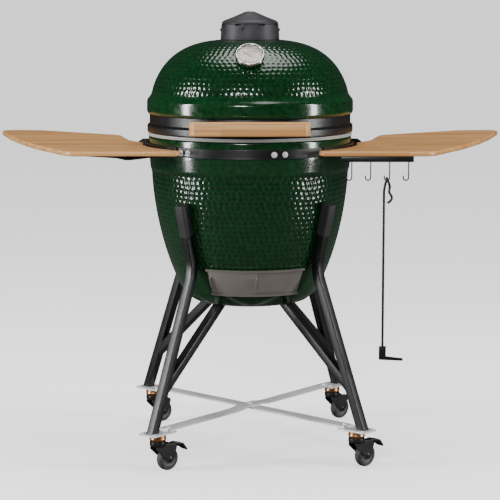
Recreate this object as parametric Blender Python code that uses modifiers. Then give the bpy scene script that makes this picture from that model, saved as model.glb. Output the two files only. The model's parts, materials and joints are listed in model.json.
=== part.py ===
"""A ceramic charcoal grill (kamado) on a four-legged stand with casters.

Units are metres and +Z is up. The bowl's axis is vertical. The model's origin lies on
the floor in the middle of its footprint, and the front, with the handle, faces -Y.
"""

import math

import bmesh
import bpy
from mathutils import Matrix, Vector

# ---- Clearances --------------------------------------------------------------------
TOUCH = 0.0003  # gap between two pieces that rest on each other
RUNNING = 0.0003  # radial clearance of a pin in its hole

# ---- Facets ------------------------------------------------------------------------
RING_STEPS = 36
SMALL_STEPS = 16

# ---- Ceramic body ------------------------------------------------------------------
BODY_RADIUS = 0.2576  # bowl, below its smooth shoulder
BODY_POWER = 2.32
BODY_FULLNESS = 1.66
SHOULDER_Z = 0.748  # where the bowl starts to narrow
BOWL_DROP = 0.448  # depth of the bowl's full curve
BASE_Z = 0.396
BASE_RADIUS = 0.125
BOWL_WALL = 0.026
RIM_Z = 0.8333  # top of the bowl
RIM_PROUD = 0.0072  # how far the rim stands out from the body
RIM_WALL = 0.030
RIM_RADIUS = BODY_RADIUS + RIM_PROUD

LID_RADIUS = BODY_RADIUS + 0.0028
LID_POWER = 3.3
LID_FULLNESS = 1.87
DOME_Z = 0.910  # where the dome's curve starts
DOME_RISE = 0.1716
LID_WALL = 0.024
COLLAR_PROUD = 0.0089  # smooth collar at the bottom of the dome
COLLAR_RADIUS = LID_RADIUS + COLLAR_PROUD
COLLAR_TOP = 0.934
COLLAR_BOTTOM = 0.8893

# ---- Felt seals --------------------------------------------------------------------
GASKET_THICK = 0.0038
GASKET_WIDTH = 0.026
SEAL_RADIUS = RIM_RADIUS + 0.002
BOWL_SEAL_Z = RIM_Z + TOUCH
LID_SEAL_Z = BOWL_SEAL_Z + GASKET_THICK + TOUCH
LID_BOTTOM = LID_SEAL_Z + GASKET_THICK + TOUCH

# ---- Steel bands -------------------------------------------------------------------
BAND_STEEL = 0.003
BOWL_BAND_TOP = 0.8156
BOWL_BAND_BOTTOM = 0.791
BOWL_BAND_RADIUS = RIM_RADIUS + TOUCH + BAND_STEEL
LID_SKIRT = LID_RADIUS - 0.0012  # ceramic behind the lid band
LID_BAND_BOTTOM = 0.8441
LID_BAND_TOP = COLLAR_BOTTOM - TOUCH
LID_BAND_UPPER = LID_SKIRT + TOUCH + BAND_STEEL
LID_BAND_LOWER = LID_BAND_UPPER + 0.006
LID_BAND_STEP = 0.866

# ---- Inside the bowl ---------------------------------------------------------------
LINER_GAP = 0.006
LINER_WALL = 0.018
FIREBOX_TOP = 0.620
FIREBOX_FLOOR = 0.020
FIREBOX_HOLE = 0.050
GRATE_Z = 0.500
GRATE_THICK = 0.008
GRATE_LEDGE = 0.012
GRATE_SLOTS = 7
GRID_SEAT = 0.795
GRID_WIRE = 0.003
GRID_RIM = 0.004
GRID_BARS = 11

# ---- Lid hinge ---------------------------------------------------------------------
HINGE_OUT = 0.044  # pin behind the bowl band
HINGE_Y = BOWL_BAND_RADIUS + HINGE_OUT
HINGE_Z = 0.838
PIN_RADIUS = 0.004
PIN_LENGTH = 0.132
EAR_THICK = 0.005
EAR_RADIUS = 0.011
LOWER_EAR_X = 0.056
UPPER_EAR_X = 0.042
SPRING_WIRE = 0.0015
SPRING_TURNS = 4

# ---- Handle ------------------------------------------------------------------------
HANDLE_LENGTH = 0.298
HANDLE_TALL = 0.035
HANDLE_DEEP = 0.024
HANDLE_Z = 0.870
HANDLE_OFF = 0.030  # finger gap behind the bar, at its middle
HANDLE_CHAMFER = 0.011
STRUT_X = 0.105
STRUT_WIDE = 0.018
STRUT_THICK = 0.005

# ---- Thermometer -------------------------------------------------------------------
DIAL_Z = 1.037
DIAL_TILT = math.radians(45)
DIAL_RADIUS = 0.0365
DIAL_DEEP = 0.013
PROBE_RADIUS = 0.004
PROBE_LENGTH = 0.070
BEZEL_LOW = 0.0065  # back of the case above the dome, clear of its curve
DIAL_FACE = BEZEL_LOW + DIAL_DEEP - 0.006

# ---- Chimney vent ------------------------------------------------------------------
VENT_RADIUS = 0.0767
VENT_TOP_RADIUS = 0.0745
VENT_TOP = 1.1205
VENT_WALL = 0.005
VENT_THROAT = 0.052
VENT_SLOTS = 8
SLOT_WIDE = 0.020
SLOT_TALL = 0.004
ROOF_APEX = 1.1534
ROOF_EDGE_TALL = 0.006

# ---- Draft door --------------------------------------------------------------------
DOOR_TURN = math.radians(4.2)  # the bowl and stand are turned this much under the lid
DOOR_TOP = 0.505
DOOR_BOTTOM = 0.434
DOOR_HALF = math.radians(34.5)
DOOR_STAND_OFF = 0.004
SHEET = 0.0015
SCREEN_SHEET = 0.001
SHEET_GAP = 0.0008
LIP = 0.006
DOOR_AXIS = -math.pi / 2 + DOOR_TURN
WINDOW_START = DOOR_AXIS - DOOR_HALF + math.radians(4.5)
WINDOW_END = DOOR_AXIS - math.radians(2.5)
WINDOW_BOTTOM = DOOR_BOTTOM + 0.014
WINDOW_TOP = DOOR_TOP - 0.014
WINDOW_NEAR = 0.100  # the opening is cut between these two radii
WINDOW_FAR = 0.260

# ---- Stand -------------------------------------------------------------------------
STAND_TURN = DOOR_TURN
LEG_AZIMUTH = math.radians(46.25)
TUBE = 0.023
POST_TOP = 0.668
ELBOW_Z = 0.500
POST_GAP = 0.0075
FOOT_REACH = 0.385
PLATE_Z = 0.0985
PLATE_THICK = 0.004
FOOT_Z = PLATE_Z + PLATE_THICK + TOUCH
BRACE_TOP_Z = 0.386
BRACE_TOP_REACH = 0.138
BRACE_FOOT_Z = 0.205
CAP_LENGTH = 0.080
CAP_WALL = 0.0022
BAR_WIDE = 0.038
BAR_THICK = 0.004

# ---- Casters -----------------------------------------------------------------------
CASTER_REACH = 0.3655
CASTER_HEADING = math.radians(41)
TRAIL = 0.030
WHEEL_RADIUS = 0.030
WHEEL_WIDE = 0.020
AXLE_RADIUS = 0.004
FORK_SHEET = 0.0025
FORK_GAP = 0.0015
RACE_RADIUS = 0.021
RACE_Z = 0.0800
KINGPIN = 0.005
DECK_TOP = RACE_Z - TOUCH
DECK_BOTTOM = 0.0665
PEDAL_X = TRAIL + 0.016
PEDAL_Z = DECK_BOTTOM - 0.0035
PEDAL_PIN = 0.0020

# ---- Side shelves ------------------------------------------------------------------
SHELF_Z = 0.810
BOARD_THICK = 0.012
SHELF_CLEAR = 0.0125  # gap between the board and the bowl band
SHELF_INNER = BOWL_BAND_RADIUS + SHELF_CLEAR
SHELF_FRONT_Y = -0.255
SHELF_AXIS_X = BOWL_BAND_RADIUS + 0.040
SHELF_OUT = 0.400  # tip beyond the hinge
ROD_RADIUS = 0.004
ROD_DROP = 0.0095  # rod's axis below the board's underside
ROD_Z = SHELF_Z - BOARD_THICK - ROD_DROP
ARM_STATIONS = (-0.165, 0.105)
ARM_THICK = 0.004
SUPPORT_OFFSET = 0.012
SUPPORT_REACHES = (0.155, 0.230)  # front and rear arms under the board
TIE_OUT = 0.120

# ---- Hook rail and ash tool --------------------------------------------------------
RAIL_INNER_X = 0.228
RAIL_LENGTH = 0.180
RAIL_TALL = 0.014
RAIL_THICK = 0.003
HOOK_PITCH = 0.0472
HOOK_FIRST = 0.012
HOOK_WIRE = 0.0016
HOOK_DROP = 0.046
HOOK_BEND = 0.0065  # radius of a hook's bend
TOOL_HOOK = 2
TOOL_ROD = 0.0032
TOOL_LENGTH = 0.432

# ---- Footprint ---------------------------------------------------------------------
SHELF_REAR_Y = 0.455
FRONT_REACH = BOWL_BAND_RADIUS + HANDLE_OFF + HANDLE_DEEP + 0.004
AXIS_Y = (FRONT_REACH - SHELF_REAR_Y) / 2  # bowl's axis in the model's frame

Z_AXIS = Vector((0, 0, 1))


# ---- Shapes ------------------------------------------------------------------------
def bowl_radius(z):
    """Outer radius of the bowl at a height below its shoulder."""
    depth = max(0.0, (SHOULDER_Z - z) / BOWL_DROP)
    return BODY_RADIUS * (1 - depth**BODY_FULLNESS) ** (1 / BODY_POWER)


def dome_radius(z, wall=0.0):
    """Radius of the dome at a height, on its outer face or a wall's thickness inside."""
    height = max(0.0, (z - DOME_Z) / (DOME_RISE - wall))
    return (LID_RADIUS - wall) * max(0.0, 1 - height**LID_FULLNESS) ** (1 / LID_POWER)


def dome_height(radius, wall=0.0):
    """Height of the dome at a radius, on its outer face or a wall's thickness inside."""
    share = (radius / (LID_RADIUS - wall)) ** LID_POWER
    return DOME_Z + (DOME_RISE - wall) * (1 - share) ** (1 / LID_FULLNESS)


def spread(start, end, count):
    """Evenly spaced values from start to end."""
    return [start + (end - start) * i / (count - 1) for i in range(count)]


# ---- Scene helpers -----------------------------------------------------------------
def clear_scene():
    for obj in list(bpy.data.objects):
        bpy.data.objects.remove(obj, do_unlink=True)


def new_collection(name):
    collection = bpy.data.collections.new(name)
    bpy.context.scene.collection.children.link(collection)
    return collection


def material(name, colour, roughness, metallic=0.0):
    mat = bpy.data.materials.new(name)
    mat.use_nodes = True
    shader = mat.node_tree.nodes["Principled BSDF"]
    shader.inputs["Base Color"].default_value = (*colour, 1)
    shader.inputs["Roughness"].default_value = roughness
    shader.inputs["Metallic"].default_value = metallic
    return mat


clear_scene()
PARTS = new_collection("kamado_grill")
TOOLS = new_collection("cutters")
GLAZE = material("green_glaze", (0.012, 0.09, 0.022), 0.15)
CLAY = material("fired_clay", (0.55, 0.42, 0.30), 0.9)
FELT = material("felt", (0.30, 0.30, 0.29), 0.95)
BLACK_STEEL = material("black_steel", (0.02, 0.02, 0.022), 0.45, 0.3)
CAST_IRON = material("cast_iron", (0.06, 0.06, 0.065), 0.6, 0.6)
BAMBOO = material("bamboo", (0.72, 0.45, 0.22), 0.45)
STAINLESS = material("stainless", (0.55, 0.53, 0.50), 0.3, 1.0)
CHROME = material("chrome", (0.8, 0.8, 0.8), 0.1, 1.0)
RUBBER = material("rubber", (0.02, 0.02, 0.02), 0.8)
GLASS = material("dial_glass", (0.8, 0.8, 0.8), 0.05)
RED = material("needle_red", (0.5, 0.02, 0.02), 0.4)


def link(obj, collection, mat=None):
    """Put an object in one collection, with one material."""
    for other in list(obj.users_collection):
        other.objects.unlink(obj)
    collection.objects.link(obj)
    if mat:
        obj.data.materials.clear()
        obj.data.materials.append(mat)
    return obj


def mesh_object(name, mesh, mat=None):
    return link(bpy.data.objects.new(name, mesh), PARTS, mat)


def from_bmesh(name, bm, mat=None):
    bmesh.ops.recalc_face_normals(bm, faces=bm.faces)
    mesh = bpy.data.meshes.new(name)
    bm.to_mesh(mesh)
    bm.free()
    return mesh_object(name, mesh, mat)


def smooth(obj, degrees=35):
    obj.data.shade_smooth()
    obj.data.set_sharp_from_angle(angle=math.radians(degrees))
    return obj


def turned(name, profile, mat=None, steps=RING_STEPS, closed=True):
    """A profile of (radius, height) turned about Z, its outer side running downwards."""
    bm = bmesh.new()
    verts = [bm.verts.new((radius, 0, z)) for radius, z in profile]
    for a, b in zip(verts, verts[1:]):
        bm.edges.new((a, b))
    if closed:
        bm.edges.new((verts[-1], verts[0]))
    mesh = bpy.data.meshes.new(name)
    bm.to_mesh(mesh)
    bm.free()
    obj = mesh_object(name, mesh, mat)
    screw = obj.modifiers.new("Turn", "SCREW")
    screw.steps = steps
    screw.render_steps = steps
    screw.use_merge_vertices = True
    screw.merge_threshold = 0.00005
    return bake(obj)


def sector(name, profile, start, end, mat=None, steps=12):
    """A closed profile of (radius, height) swept about Z between two angles."""
    bm = bmesh.new()
    verts = [bm.verts.new((radius, 0, z)) for radius, z in profile]
    face = bm.faces.new(verts)
    bmesh.ops.rotate(bm, verts=bm.verts, matrix=Matrix.Rotation(start, 3, "Z"))
    geometry = [face, *face.edges, *face.verts]
    bmesh.ops.spin(
        bm, geom=geometry, cent=(0, 0, 0), axis=(0, 0, 1), angle=end - start, steps=steps
    )
    return from_bmesh(name, bm, mat)


def box(name, size, centre, mat=None, turn=0.0):
    """A box turned about Z at its centre."""
    bm = bmesh.new()
    bmesh.ops.create_cube(bm, size=1)
    bmesh.ops.scale(bm, vec=size, verts=bm.verts)
    bmesh.ops.rotate(bm, verts=bm.verts, matrix=Matrix.Rotation(turn, 3, "Z"))
    bmesh.ops.translate(bm, vec=centre, verts=bm.verts)
    return from_bmesh(name, bm, mat)


def rod(name, start, end, radius, mat=None, steps=12, end_radius=None):
    """A round bar between two points."""
    start, end = Vector(start), Vector(end)
    length = (end - start).length
    bm = bmesh.new()
    bmesh.ops.create_cone(
        bm,
        cap_ends=True,
        segments=steps,
        radius1=radius,
        radius2=radius if end_radius is None else end_radius,
        depth=length,
    )
    aim = (end - start).to_track_quat("Z", "Y").to_matrix()
    bmesh.ops.rotate(bm, verts=bm.verts, matrix=aim)
    bmesh.ops.translate(bm, vec=(start + end) / 2, verts=bm.verts)
    return from_bmesh(name, bm, mat)


def beam(name, start, end, wide, deep, side, mat=None):
    """A square-cut bar between two points; its width lies along the side direction."""
    start, end, side = Vector(start), Vector(end), Vector(side).normalized()
    along = (end - start).normalized()
    across = along.cross(side).normalized()
    bm = bmesh.new()
    bmesh.ops.create_cube(bm, size=1)
    bmesh.ops.scale(bm, vec=(wide, deep, (end - start).length), verts=bm.verts)
    frame = Matrix((side, across, along)).transposed()
    bmesh.ops.rotate(bm, verts=bm.verts, matrix=frame)
    bmesh.ops.translate(bm, vec=(start + end) / 2, verts=bm.verts)
    return from_bmesh(name, bm, mat)


def slab(name, outline, thickness, mat=None, holes=()):
    """A flat outline in XY, extruded evenly about Z = 0, as a mesh."""
    curve = bpy.data.curves.new(name, "CURVE")
    curve.dimensions = "2D"
    curve.fill_mode = "BOTH"
    curve.extrude = thickness / 2
    for loop in (outline, *holes):
        spline = curve.splines.new("POLY")
        spline.points.add(len(loop) - 1)
        for point, (x, y) in zip(spline.points, loop):
            point.co = (x, y, 0, 1)
        spline.use_cyclic_u = True
    return curve_to_mesh(name, link(bpy.data.objects.new(name, curve), PARTS), mat)


def wire(name, points, radius, mat=None, cyclic=False, sides=1):
    """A round wire through points, as a mesh."""
    curve = bpy.data.curves.new(name, "CURVE")
    curve.dimensions = "3D"
    curve.bevel_depth = radius
    curve.bevel_resolution = sides
    curve.use_fill_caps = not cyclic
    spline = curve.splines.new("POLY")
    spline.points.add(len(points) - 1)
    for point, place in zip(spline.points, points):
        point.co = (*place, 1)
    spline.use_cyclic_u = cyclic
    return curve_to_mesh(name, link(bpy.data.objects.new(name, curve), PARTS), mat)


def curve_to_mesh(name, source, mat):
    """Make a curve a mesh and weld its caps."""
    graph = bpy.context.evaluated_depsgraph_get()
    mesh = bpy.data.meshes.new_from_object(source.evaluated_get(graph))
    bpy.data.objects.remove(source, do_unlink=True)
    bm = bmesh.new()
    bm.from_mesh(mesh)
    bmesh.ops.remove_doubles(bm, verts=bm.verts, dist=0.00001)
    return from_bmesh(name, bm, mat)


def bake(obj):
    """Replace an object's mesh by its evaluated one, and drop its modifiers."""
    graph = bpy.context.evaluated_depsgraph_get()
    mesh = bpy.data.meshes.new_from_object(obj.evaluated_get(graph))
    obj.modifiers.clear()
    obj.data = mesh
    return obj


def combine(obj, others, operation, solver):
    """Join or cut an object by others, which are used up."""
    for other in others:
        modifier = obj.modifiers.new(operation.title(), "BOOLEAN")
        modifier.operation = operation
        modifier.solver = solver
        modifier.object = other
        link(other, TOOLS)
        other.hide_render = True
        other.display_type = "WIRE"
    bake(obj)
    for other in others:
        bpy.data.objects.remove(other, do_unlink=True)
    bm = bmesh.new()
    bm.from_mesh(obj.data)
    bmesh.ops.remove_doubles(bm, verts=bm.verts, dist=0.000002)
    bm.to_mesh(obj.data)
    bm.free()
    return obj


def fuse(obj, *others, solver="EXACT"):
    return combine(obj, others, "UNION", solver)


def cut(obj, *others, solver="EXACT"):
    return combine(obj, others, "DIFFERENCE", solver)


def move(obj, matrix):
    """Move the mesh itself."""
    obj.data.transform(matrix)
    return obj


def empty(name, place, parent=None):
    """An empty at a place in the bowl's frame."""
    obj = bpy.data.objects.new(name, None)
    PARTS.objects.link(obj)
    obj["place"] = tuple(place)
    seat(obj, parent)
    return obj


def seat(obj, parent):
    """Hang an empty from its parent, keeping its place in the bowl's frame."""
    place = Vector(obj["place"])
    if parent:
        place = place - Vector(parent["place"])
        obj.parent = parent
    obj.location = place


def hang(obj, parent):
    """Hang a piece, drawn in the bowl's frame, from an empty on its joint's axis."""
    obj.data.transform(Matrix.Translation(-Vector(parent["place"])))
    obj.parent = parent
    return obj


def polar(radius, azimuth, z):
    return Vector((radius * math.cos(azimuth), radius * math.sin(azimuth), z))


# ---- Ceramic shells ----------------------------------------------------------------
def bowl_inner(z):
    return bowl_radius(z) - BOWL_WALL


def make_bowl(frame):
    floor = BASE_Z + BOWL_WALL
    inner = [(0, floor), (BASE_RADIUS - 0.025, floor)]
    inner += [(bowl_inner(z), z) for z in spread(floor + 0.045, SHOULDER_Z - 0.013, 5)]
    inner += [(RIM_RADIUS - RIM_WALL, RIM_Z - 0.045), (RIM_RADIUS - RIM_WALL, RIM_Z)]
    outer = [(RIM_RADIUS, RIM_Z), (RIM_RADIUS, BOWL_BAND_BOTTOM)]
    outer += [(bowl_radius(SHOULDER_Z) + 0.0038, SHOULDER_Z + 0.007)]
    outer += [(bowl_radius(z), z) for z in spread(SHOULDER_Z - 0.013, BASE_Z + 0.028, 9)]
    outer += [(BASE_RADIUS + 0.026, BASE_Z + 0.006), (BASE_RADIUS, BASE_Z), (0, BASE_Z)]
    bowl = turned("bowl", inner + outer, GLAZE, closed=False)
    cut(bowl, draft_window("window", WINDOW_NEAR, WINDOW_FAR))
    return hang(smooth(bowl), frame)


def draft_window(name, near, far):
    """The wedge of air that passes through the door frame, the bowl and the firebox."""
    profile = [(near, WINDOW_TOP), (far, WINDOW_TOP), (far, WINDOW_BOTTOM), (near, WINDOW_BOTTOM)]
    return sector(name, profile, WINDOW_START, WINDOW_END, steps=6)


def make_lid(pivot):
    inner_top = dome_height(VENT_THROAT + 0.003, LID_WALL)
    inner = [(LID_SKIRT - LID_WALL, LID_BOTTOM), (LID_SKIRT - LID_WALL, DOME_Z)]
    inner += [(dome_radius(z, LID_WALL), z) for z in spread(DOME_Z + 0.045, inner_top - 0.012, 4)]
    inner += [(VENT_THROAT + 0.003, inner_top)]
    seat_z = dome_height(VENT_RADIUS)
    outer = [(VENT_THROAT + 0.003, seat_z), (VENT_RADIUS, seat_z)]
    outer += [(dome_radius(z), z) for z in spread(seat_z - 0.006, COLLAR_TOP + 0.012, 8)]
    outer += [(LID_RADIUS, COLLAR_TOP), (COLLAR_RADIUS, COLLAR_TOP - 0.010)]
    outer += [(COLLAR_RADIUS, COLLAR_BOTTOM + 0.006), (COLLAR_RADIUS - 0.005, COLLAR_BOTTOM)]
    outer += [(LID_SKIRT, COLLAR_BOTTOM), (LID_SKIRT, LID_BOTTOM)]
    lid = turned("lid_dome", inner + outer, GLAZE)
    centre, along = dial_axis()
    hole = rod("probe_hole", centre - along * 0.1, centre + along * 0.1, PROBE_RADIUS + 0.001)
    spot = rod("dial_seat", centre - along * 0.001, centre + along * 0.1, DIAL_RADIUS - 0.010)
    cut(lid, hole, spot, solver="MANIFOLD")
    return hang(smooth(lid), pivot)


def make_seals(frame, pivot):
    for name, low, owner in (("bowl_gasket", BOWL_SEAL_Z, frame), ("lid_gasket", LID_SEAL_Z, pivot)):
        inside = SEAL_RADIUS - GASKET_WIDTH
        top = low + GASKET_THICK
        profile = [(SEAL_RADIUS, top), (SEAL_RADIUS, low), (inside, low), (inside, top)]
        hang(smooth(turned(name, profile, FELT)), owner)


# ---- Inside the bowl ---------------------------------------------------------------
def liner_radius(z):
    return bowl_inner(z) - LINER_GAP


def make_firebox(frame):
    low = BASE_Z + BOWL_WALL + TOUCH
    floor = low + FIREBOX_FLOOR
    grate_radius = liner_radius(GRATE_Z) - LINER_WALL - GRATE_LEDGE
    heights = spread(low + 0.050, FIREBOX_TOP, 4)
    outer = [(liner_radius(z), z) for z in reversed(heights)]
    outer += [(BASE_RADIUS - 0.032, low), (FIREBOX_HOLE, low)]
    inner = [(FIREBOX_HOLE, floor), (BASE_RADIUS - 0.032, floor), (grate_radius, floor + 0.040)]
    inner += [(grate_radius, GRATE_Z), (grate_radius + GRATE_LEDGE, GRATE_Z)]
    inner += [(liner_radius(FIREBOX_TOP) - LINER_WALL, FIREBOX_TOP)]
    firebox = turned("firebox", outer + inner, CLAY)
    cut(firebox, draft_window("ash_mouth", FIREBOX_HOLE - 0.01, WINDOW_FAR))
    return hang(smooth(firebox), frame)


def make_fire_ring(frame):
    low = FIREBOX_TOP + TOUCH
    heights = spread(GRID_SEAT, low, 4)
    shoulder = SHOULDER_Z - 0.013
    outer = [(liner_radius(min(z, shoulder)), z) for z in heights]
    inner = [(radius - LINER_WALL, z) for radius, z in reversed(outer)]
    hang(smooth(turned("fire_ring", outer + inner, CLAY)), frame)


def make_charcoal_grate(frame):
    radius = liner_radius(GRATE_Z) - LINER_WALL - 0.003
    low = GRATE_Z + TOUCH
    top = low + GRATE_THICK
    profile = [(0, top), (radius, top), (radius, low), (0, low)]
    grate = turned("charcoal_grate", profile, CAST_IRON, closed=False)
    slots = []
    pitch = 2 * radius / (GRATE_SLOTS + 1)
    for i in range(GRATE_SLOTS):
        x = (i - (GRATE_SLOTS - 1) / 2) * pitch
        half = math.sqrt(radius**2 - x**2) - 0.016
        slots.append(box("slot", (pitch * 0.45, 2 * half, 0.05), (x, 0, low)))
    cut(grate, *slots)
    hang(grate, frame)


def make_cooking_grid(frame):
    radius = liner_radius(SHOULDER_Z - 0.013) - 0.004
    z = GRID_SEAT + TOUCH + GRID_RIM
    circle = [polar(radius - GRID_RIM, 2 * math.pi * i / RING_STEPS, z) for i in range(RING_STEPS)]
    grid = wire("cooking_grid", circle, GRID_RIM, STAINLESS, cyclic=True)
    bars = []
    pitch = 2 * (radius - GRID_RIM) / (GRID_BARS + 1)
    for i in range(GRID_BARS):
        x = (i - (GRID_BARS - 1) / 2) * pitch
        half = math.sqrt((radius - GRID_RIM) ** 2 - x**2)
        bars.append(rod("bar", (x, -half, z), (x, half, z), GRID_WIRE, steps=6))
    end = Vector((radius - GRID_RIM, 0, 0))
    middle = Vector((0, 0, z - 0.0005))
    bars.append(rod("tie", middle - end, middle + end, GRID_WIRE * 1.1, steps=6))
    hang(fuse(grid, *bars), frame)


# ---- Bands, hinge and handle -------------------------------------------------------
def make_bands(frame, pivot):
    inside = RIM_RADIUS + TOUCH
    top, low = BOWL_BAND_TOP, BOWL_BAND_BOTTOM + TOUCH
    profile = [(BOWL_BAND_RADIUS, top), (BOWL_BAND_RADIUS, low), (inside, low), (inside, top)]
    hang(smooth(turned("bowl_band", profile, BLACK_STEEL)), frame)
    inside = LID_SKIRT + TOUCH
    step, low = LID_BAND_STEP, LID_BAND_BOTTOM
    profile = [(LID_BAND_UPPER, LID_BAND_TOP), (LID_BAND_UPPER, step), (LID_BAND_LOWER, step - 0.006)]
    profile += [(LID_BAND_LOWER, low), (inside, low), (inside, LID_BAND_TOP)]
    hang(smooth(turned("lid_band", profile, BLACK_STEEL)), pivot)


def ear(name, x, near, low, high):
    """A plate across X that runs from a band to a round eye on the hinge pin."""
    reach_y = math.sqrt(near**2 - x**2) - 0.001
    centre = Vector((x, HINGE_Y, HINGE_Z))
    half = Vector((EAR_THICK / 2, 0, 0))
    eye = rod(name, centre - half, centre + half, EAR_RADIUS, steps=SMALL_STEPS)
    middle = (reach_y + HINGE_Y) / 2
    web = box("web", (EAR_THICK * 0.98, HINGE_Y - reach_y, high - low), (x, middle, (low + high) / 2))
    return fuse(eye, web)


def pin_hole():
    radius = PIN_RADIUS + RUNNING
    return rod("pin_hole", (-0.2, HINGE_Y, HINGE_Z), (0.2, HINGE_Y, HINGE_Z), radius, steps=SMALL_STEPS)


def trim_to_band(obj, radius):
    """Cut a piece back to the faceted outer face of a band."""
    face = radius + TOUCH
    return cut(obj, turned("band_face", [(face, 0.90), (face, 0.75), (0.1, 0.75), (0.1, 0.90)]))


def make_hinge(frame, pivot):
    turn = math.pi / 2
    half = LOWER_EAR_X / BOWL_BAND_RADIUS + 0.09
    near = BOWL_BAND_RADIUS + TOUCH
    low, high = BOWL_BAND_BOTTOM + TOUCH, BOWL_BAND_TOP
    plate = [(near + 0.004, high), (near + 0.004, low), (near, low), (near, high)]
    bracket = sector("hinge_bracket", plate, turn - half, turn + half, BLACK_STEEL, steps=8)
    ears = [ear("ear", side * LOWER_EAR_X, near, low, HINGE_Z - 0.003) for side in (-1, 1)]
    fuse(bracket, *ears)
    cut(trim_to_band(bracket, BOWL_BAND_RADIUS), pin_hole())
    hang(bracket, frame)

    half = UPPER_EAR_X / LID_BAND_LOWER + 0.06
    near = LID_BAND_LOWER + TOUCH
    low, high = LID_BAND_BOTTOM + 0.001, LID_BAND_STEP - 0.008
    plate = [(near + 0.004, high), (near + 0.004, low), (near, low), (near, high)]
    arm = sector("hinge_arm", plate, turn - half, turn + half, BLACK_STEEL, steps=6)
    ears = [ear("ear", side * UPPER_EAR_X, near, low, high) for side in (-1, 1)]
    fuse(arm, *ears)
    cut(trim_to_band(arm, LID_BAND_LOWER), pin_hole())
    hang(arm, pivot)

    left = Vector((-PIN_LENGTH / 2, HINGE_Y, HINGE_Z))
    right = Vector((PIN_LENGTH / 2, HINGE_Y, HINGE_Z))
    pin = rod("hinge_pin", left, right, PIN_RADIUS, STAINLESS, SMALL_STEPS)
    head_start, head_end = left - Vector((0.003, 0, 0)), left + Vector((0.001, 0, 0))
    head = rod("head", head_start, head_end, PIN_RADIUS * 1.7, steps=SMALL_STEPS)
    hang(smooth(fuse(pin, head)), frame)


def make_springs(frame):
    """Two coils round the hinge pin, each with a leg that bears on the hinge."""
    radius = PIN_RADIUS + SPRING_WIRE + 0.0012
    inner, outer = 0.006, UPPER_EAR_X - EAR_THICK / 2 - 0.003
    per_turn = 8
    count = SPRING_TURNS * per_turn
    for side, name in ((-1, "hinge_spring_left"), (1, "hinge_spring_right")):
        points = [(side * outer, HINGE_Y + radius, HINGE_Z - 0.020)]
        for i in range(count + 1):
            angle = 2 * math.pi * i / per_turn
            x = side * (outer + (inner - outer) * i / count)
            points.append((x, HINGE_Y + radius * math.cos(angle), HINGE_Z + radius * math.sin(angle)))
        points.append((side * inner, HINGE_Y + radius, HINGE_Z - 0.020))
        hang(smooth(wire(name, points, SPRING_WIRE, STAINLESS)), frame)


def make_handle(pivot):
    face = LID_BAND_LOWER + HANDLE_OFF
    centre = Vector((0, -face - HANDLE_DEEP / 2, HANDLE_Z))
    half = HANDLE_LENGTH / 2
    back, front = HANDLE_DEEP / 2, -HANDLE_DEEP / 2 - 0.004
    outline = [(-half, back), (half, back), (half, front + 0.012)]
    outline += [(half - 0.012, front + 0.004), (half * 0.4, front), (-half * 0.4, front)]
    outline += [(-half + 0.012, front + 0.004), (-half, front + 0.012)]
    bar = slab("handle_bar", outline, HANDLE_TALL, BAMBOO)
    move(bar, Matrix.Translation(centre))
    bevel = bar.modifiers.new("Chamfer", "BEVEL")
    bevel.width = 0.004
    bevel.segments = 1
    bevel.limit_method = "ANGLE"
    hang(bake(bar), pivot)

    band = LID_BAND_UPPER + TOUCH
    for side, name in ((-1, "handle_bracket_left"), (1, "handle_bracket_right")):
        x = side * STRUT_X
        azimuth = -math.pi / 2 + side * math.asin(STRUT_X / band)
        spread_angle = STRUT_WIDE / band / 2
        z = (LID_BAND_STEP + LID_BAND_TOP) / 2
        tall = LID_BAND_TOP - LID_BAND_STEP - 0.002
        foot = [(band + STRUT_THICK, z + tall / 2), (band + STRUT_THICK, z - tall / 2)]
        foot += [(band, z - tall / 2), (band, z + tall / 2)]
        start, end = azimuth - spread_angle * 1.6, azimuth + spread_angle * 1.6
        bracket = sector(name, foot, start, end, BLACK_STEEL, 3)
        y_band = -math.sqrt(band**2 - x**2)
        y_bar = -face + TOUCH
        strut_length = y_band - y_bar - 0.002
        strut = box("strut", (STRUT_THICK, strut_length, tall * 0.8), (x, y_bar + strut_length / 2, z))
        tab = box("tab", (STRUT_WIDE, 0.004, 0.024), (x, y_bar + 0.002, HANDLE_Z))
        hang(trim_to_band(fuse(bracket, strut, tab), LID_BAND_UPPER), pivot)


# ---- Thermometer -------------------------------------------------------------------
def dial_axis():
    """Where the thermometer's axis meets the dome, and its direction outwards."""
    centre = Vector((0, -dome_radius(DIAL_Z), DIAL_Z))
    return centre, Vector((0, -math.cos(DIAL_TILT), math.sin(DIAL_TILT)))


def on_dial(obj):
    """Move a piece drawn about Z onto the thermometer's axis."""
    centre, along = dial_axis()
    aim = along.to_track_quat("Z", "Y").to_matrix().to_4x4()
    return move(obj, Matrix.Translation(centre) @ aim)


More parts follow.
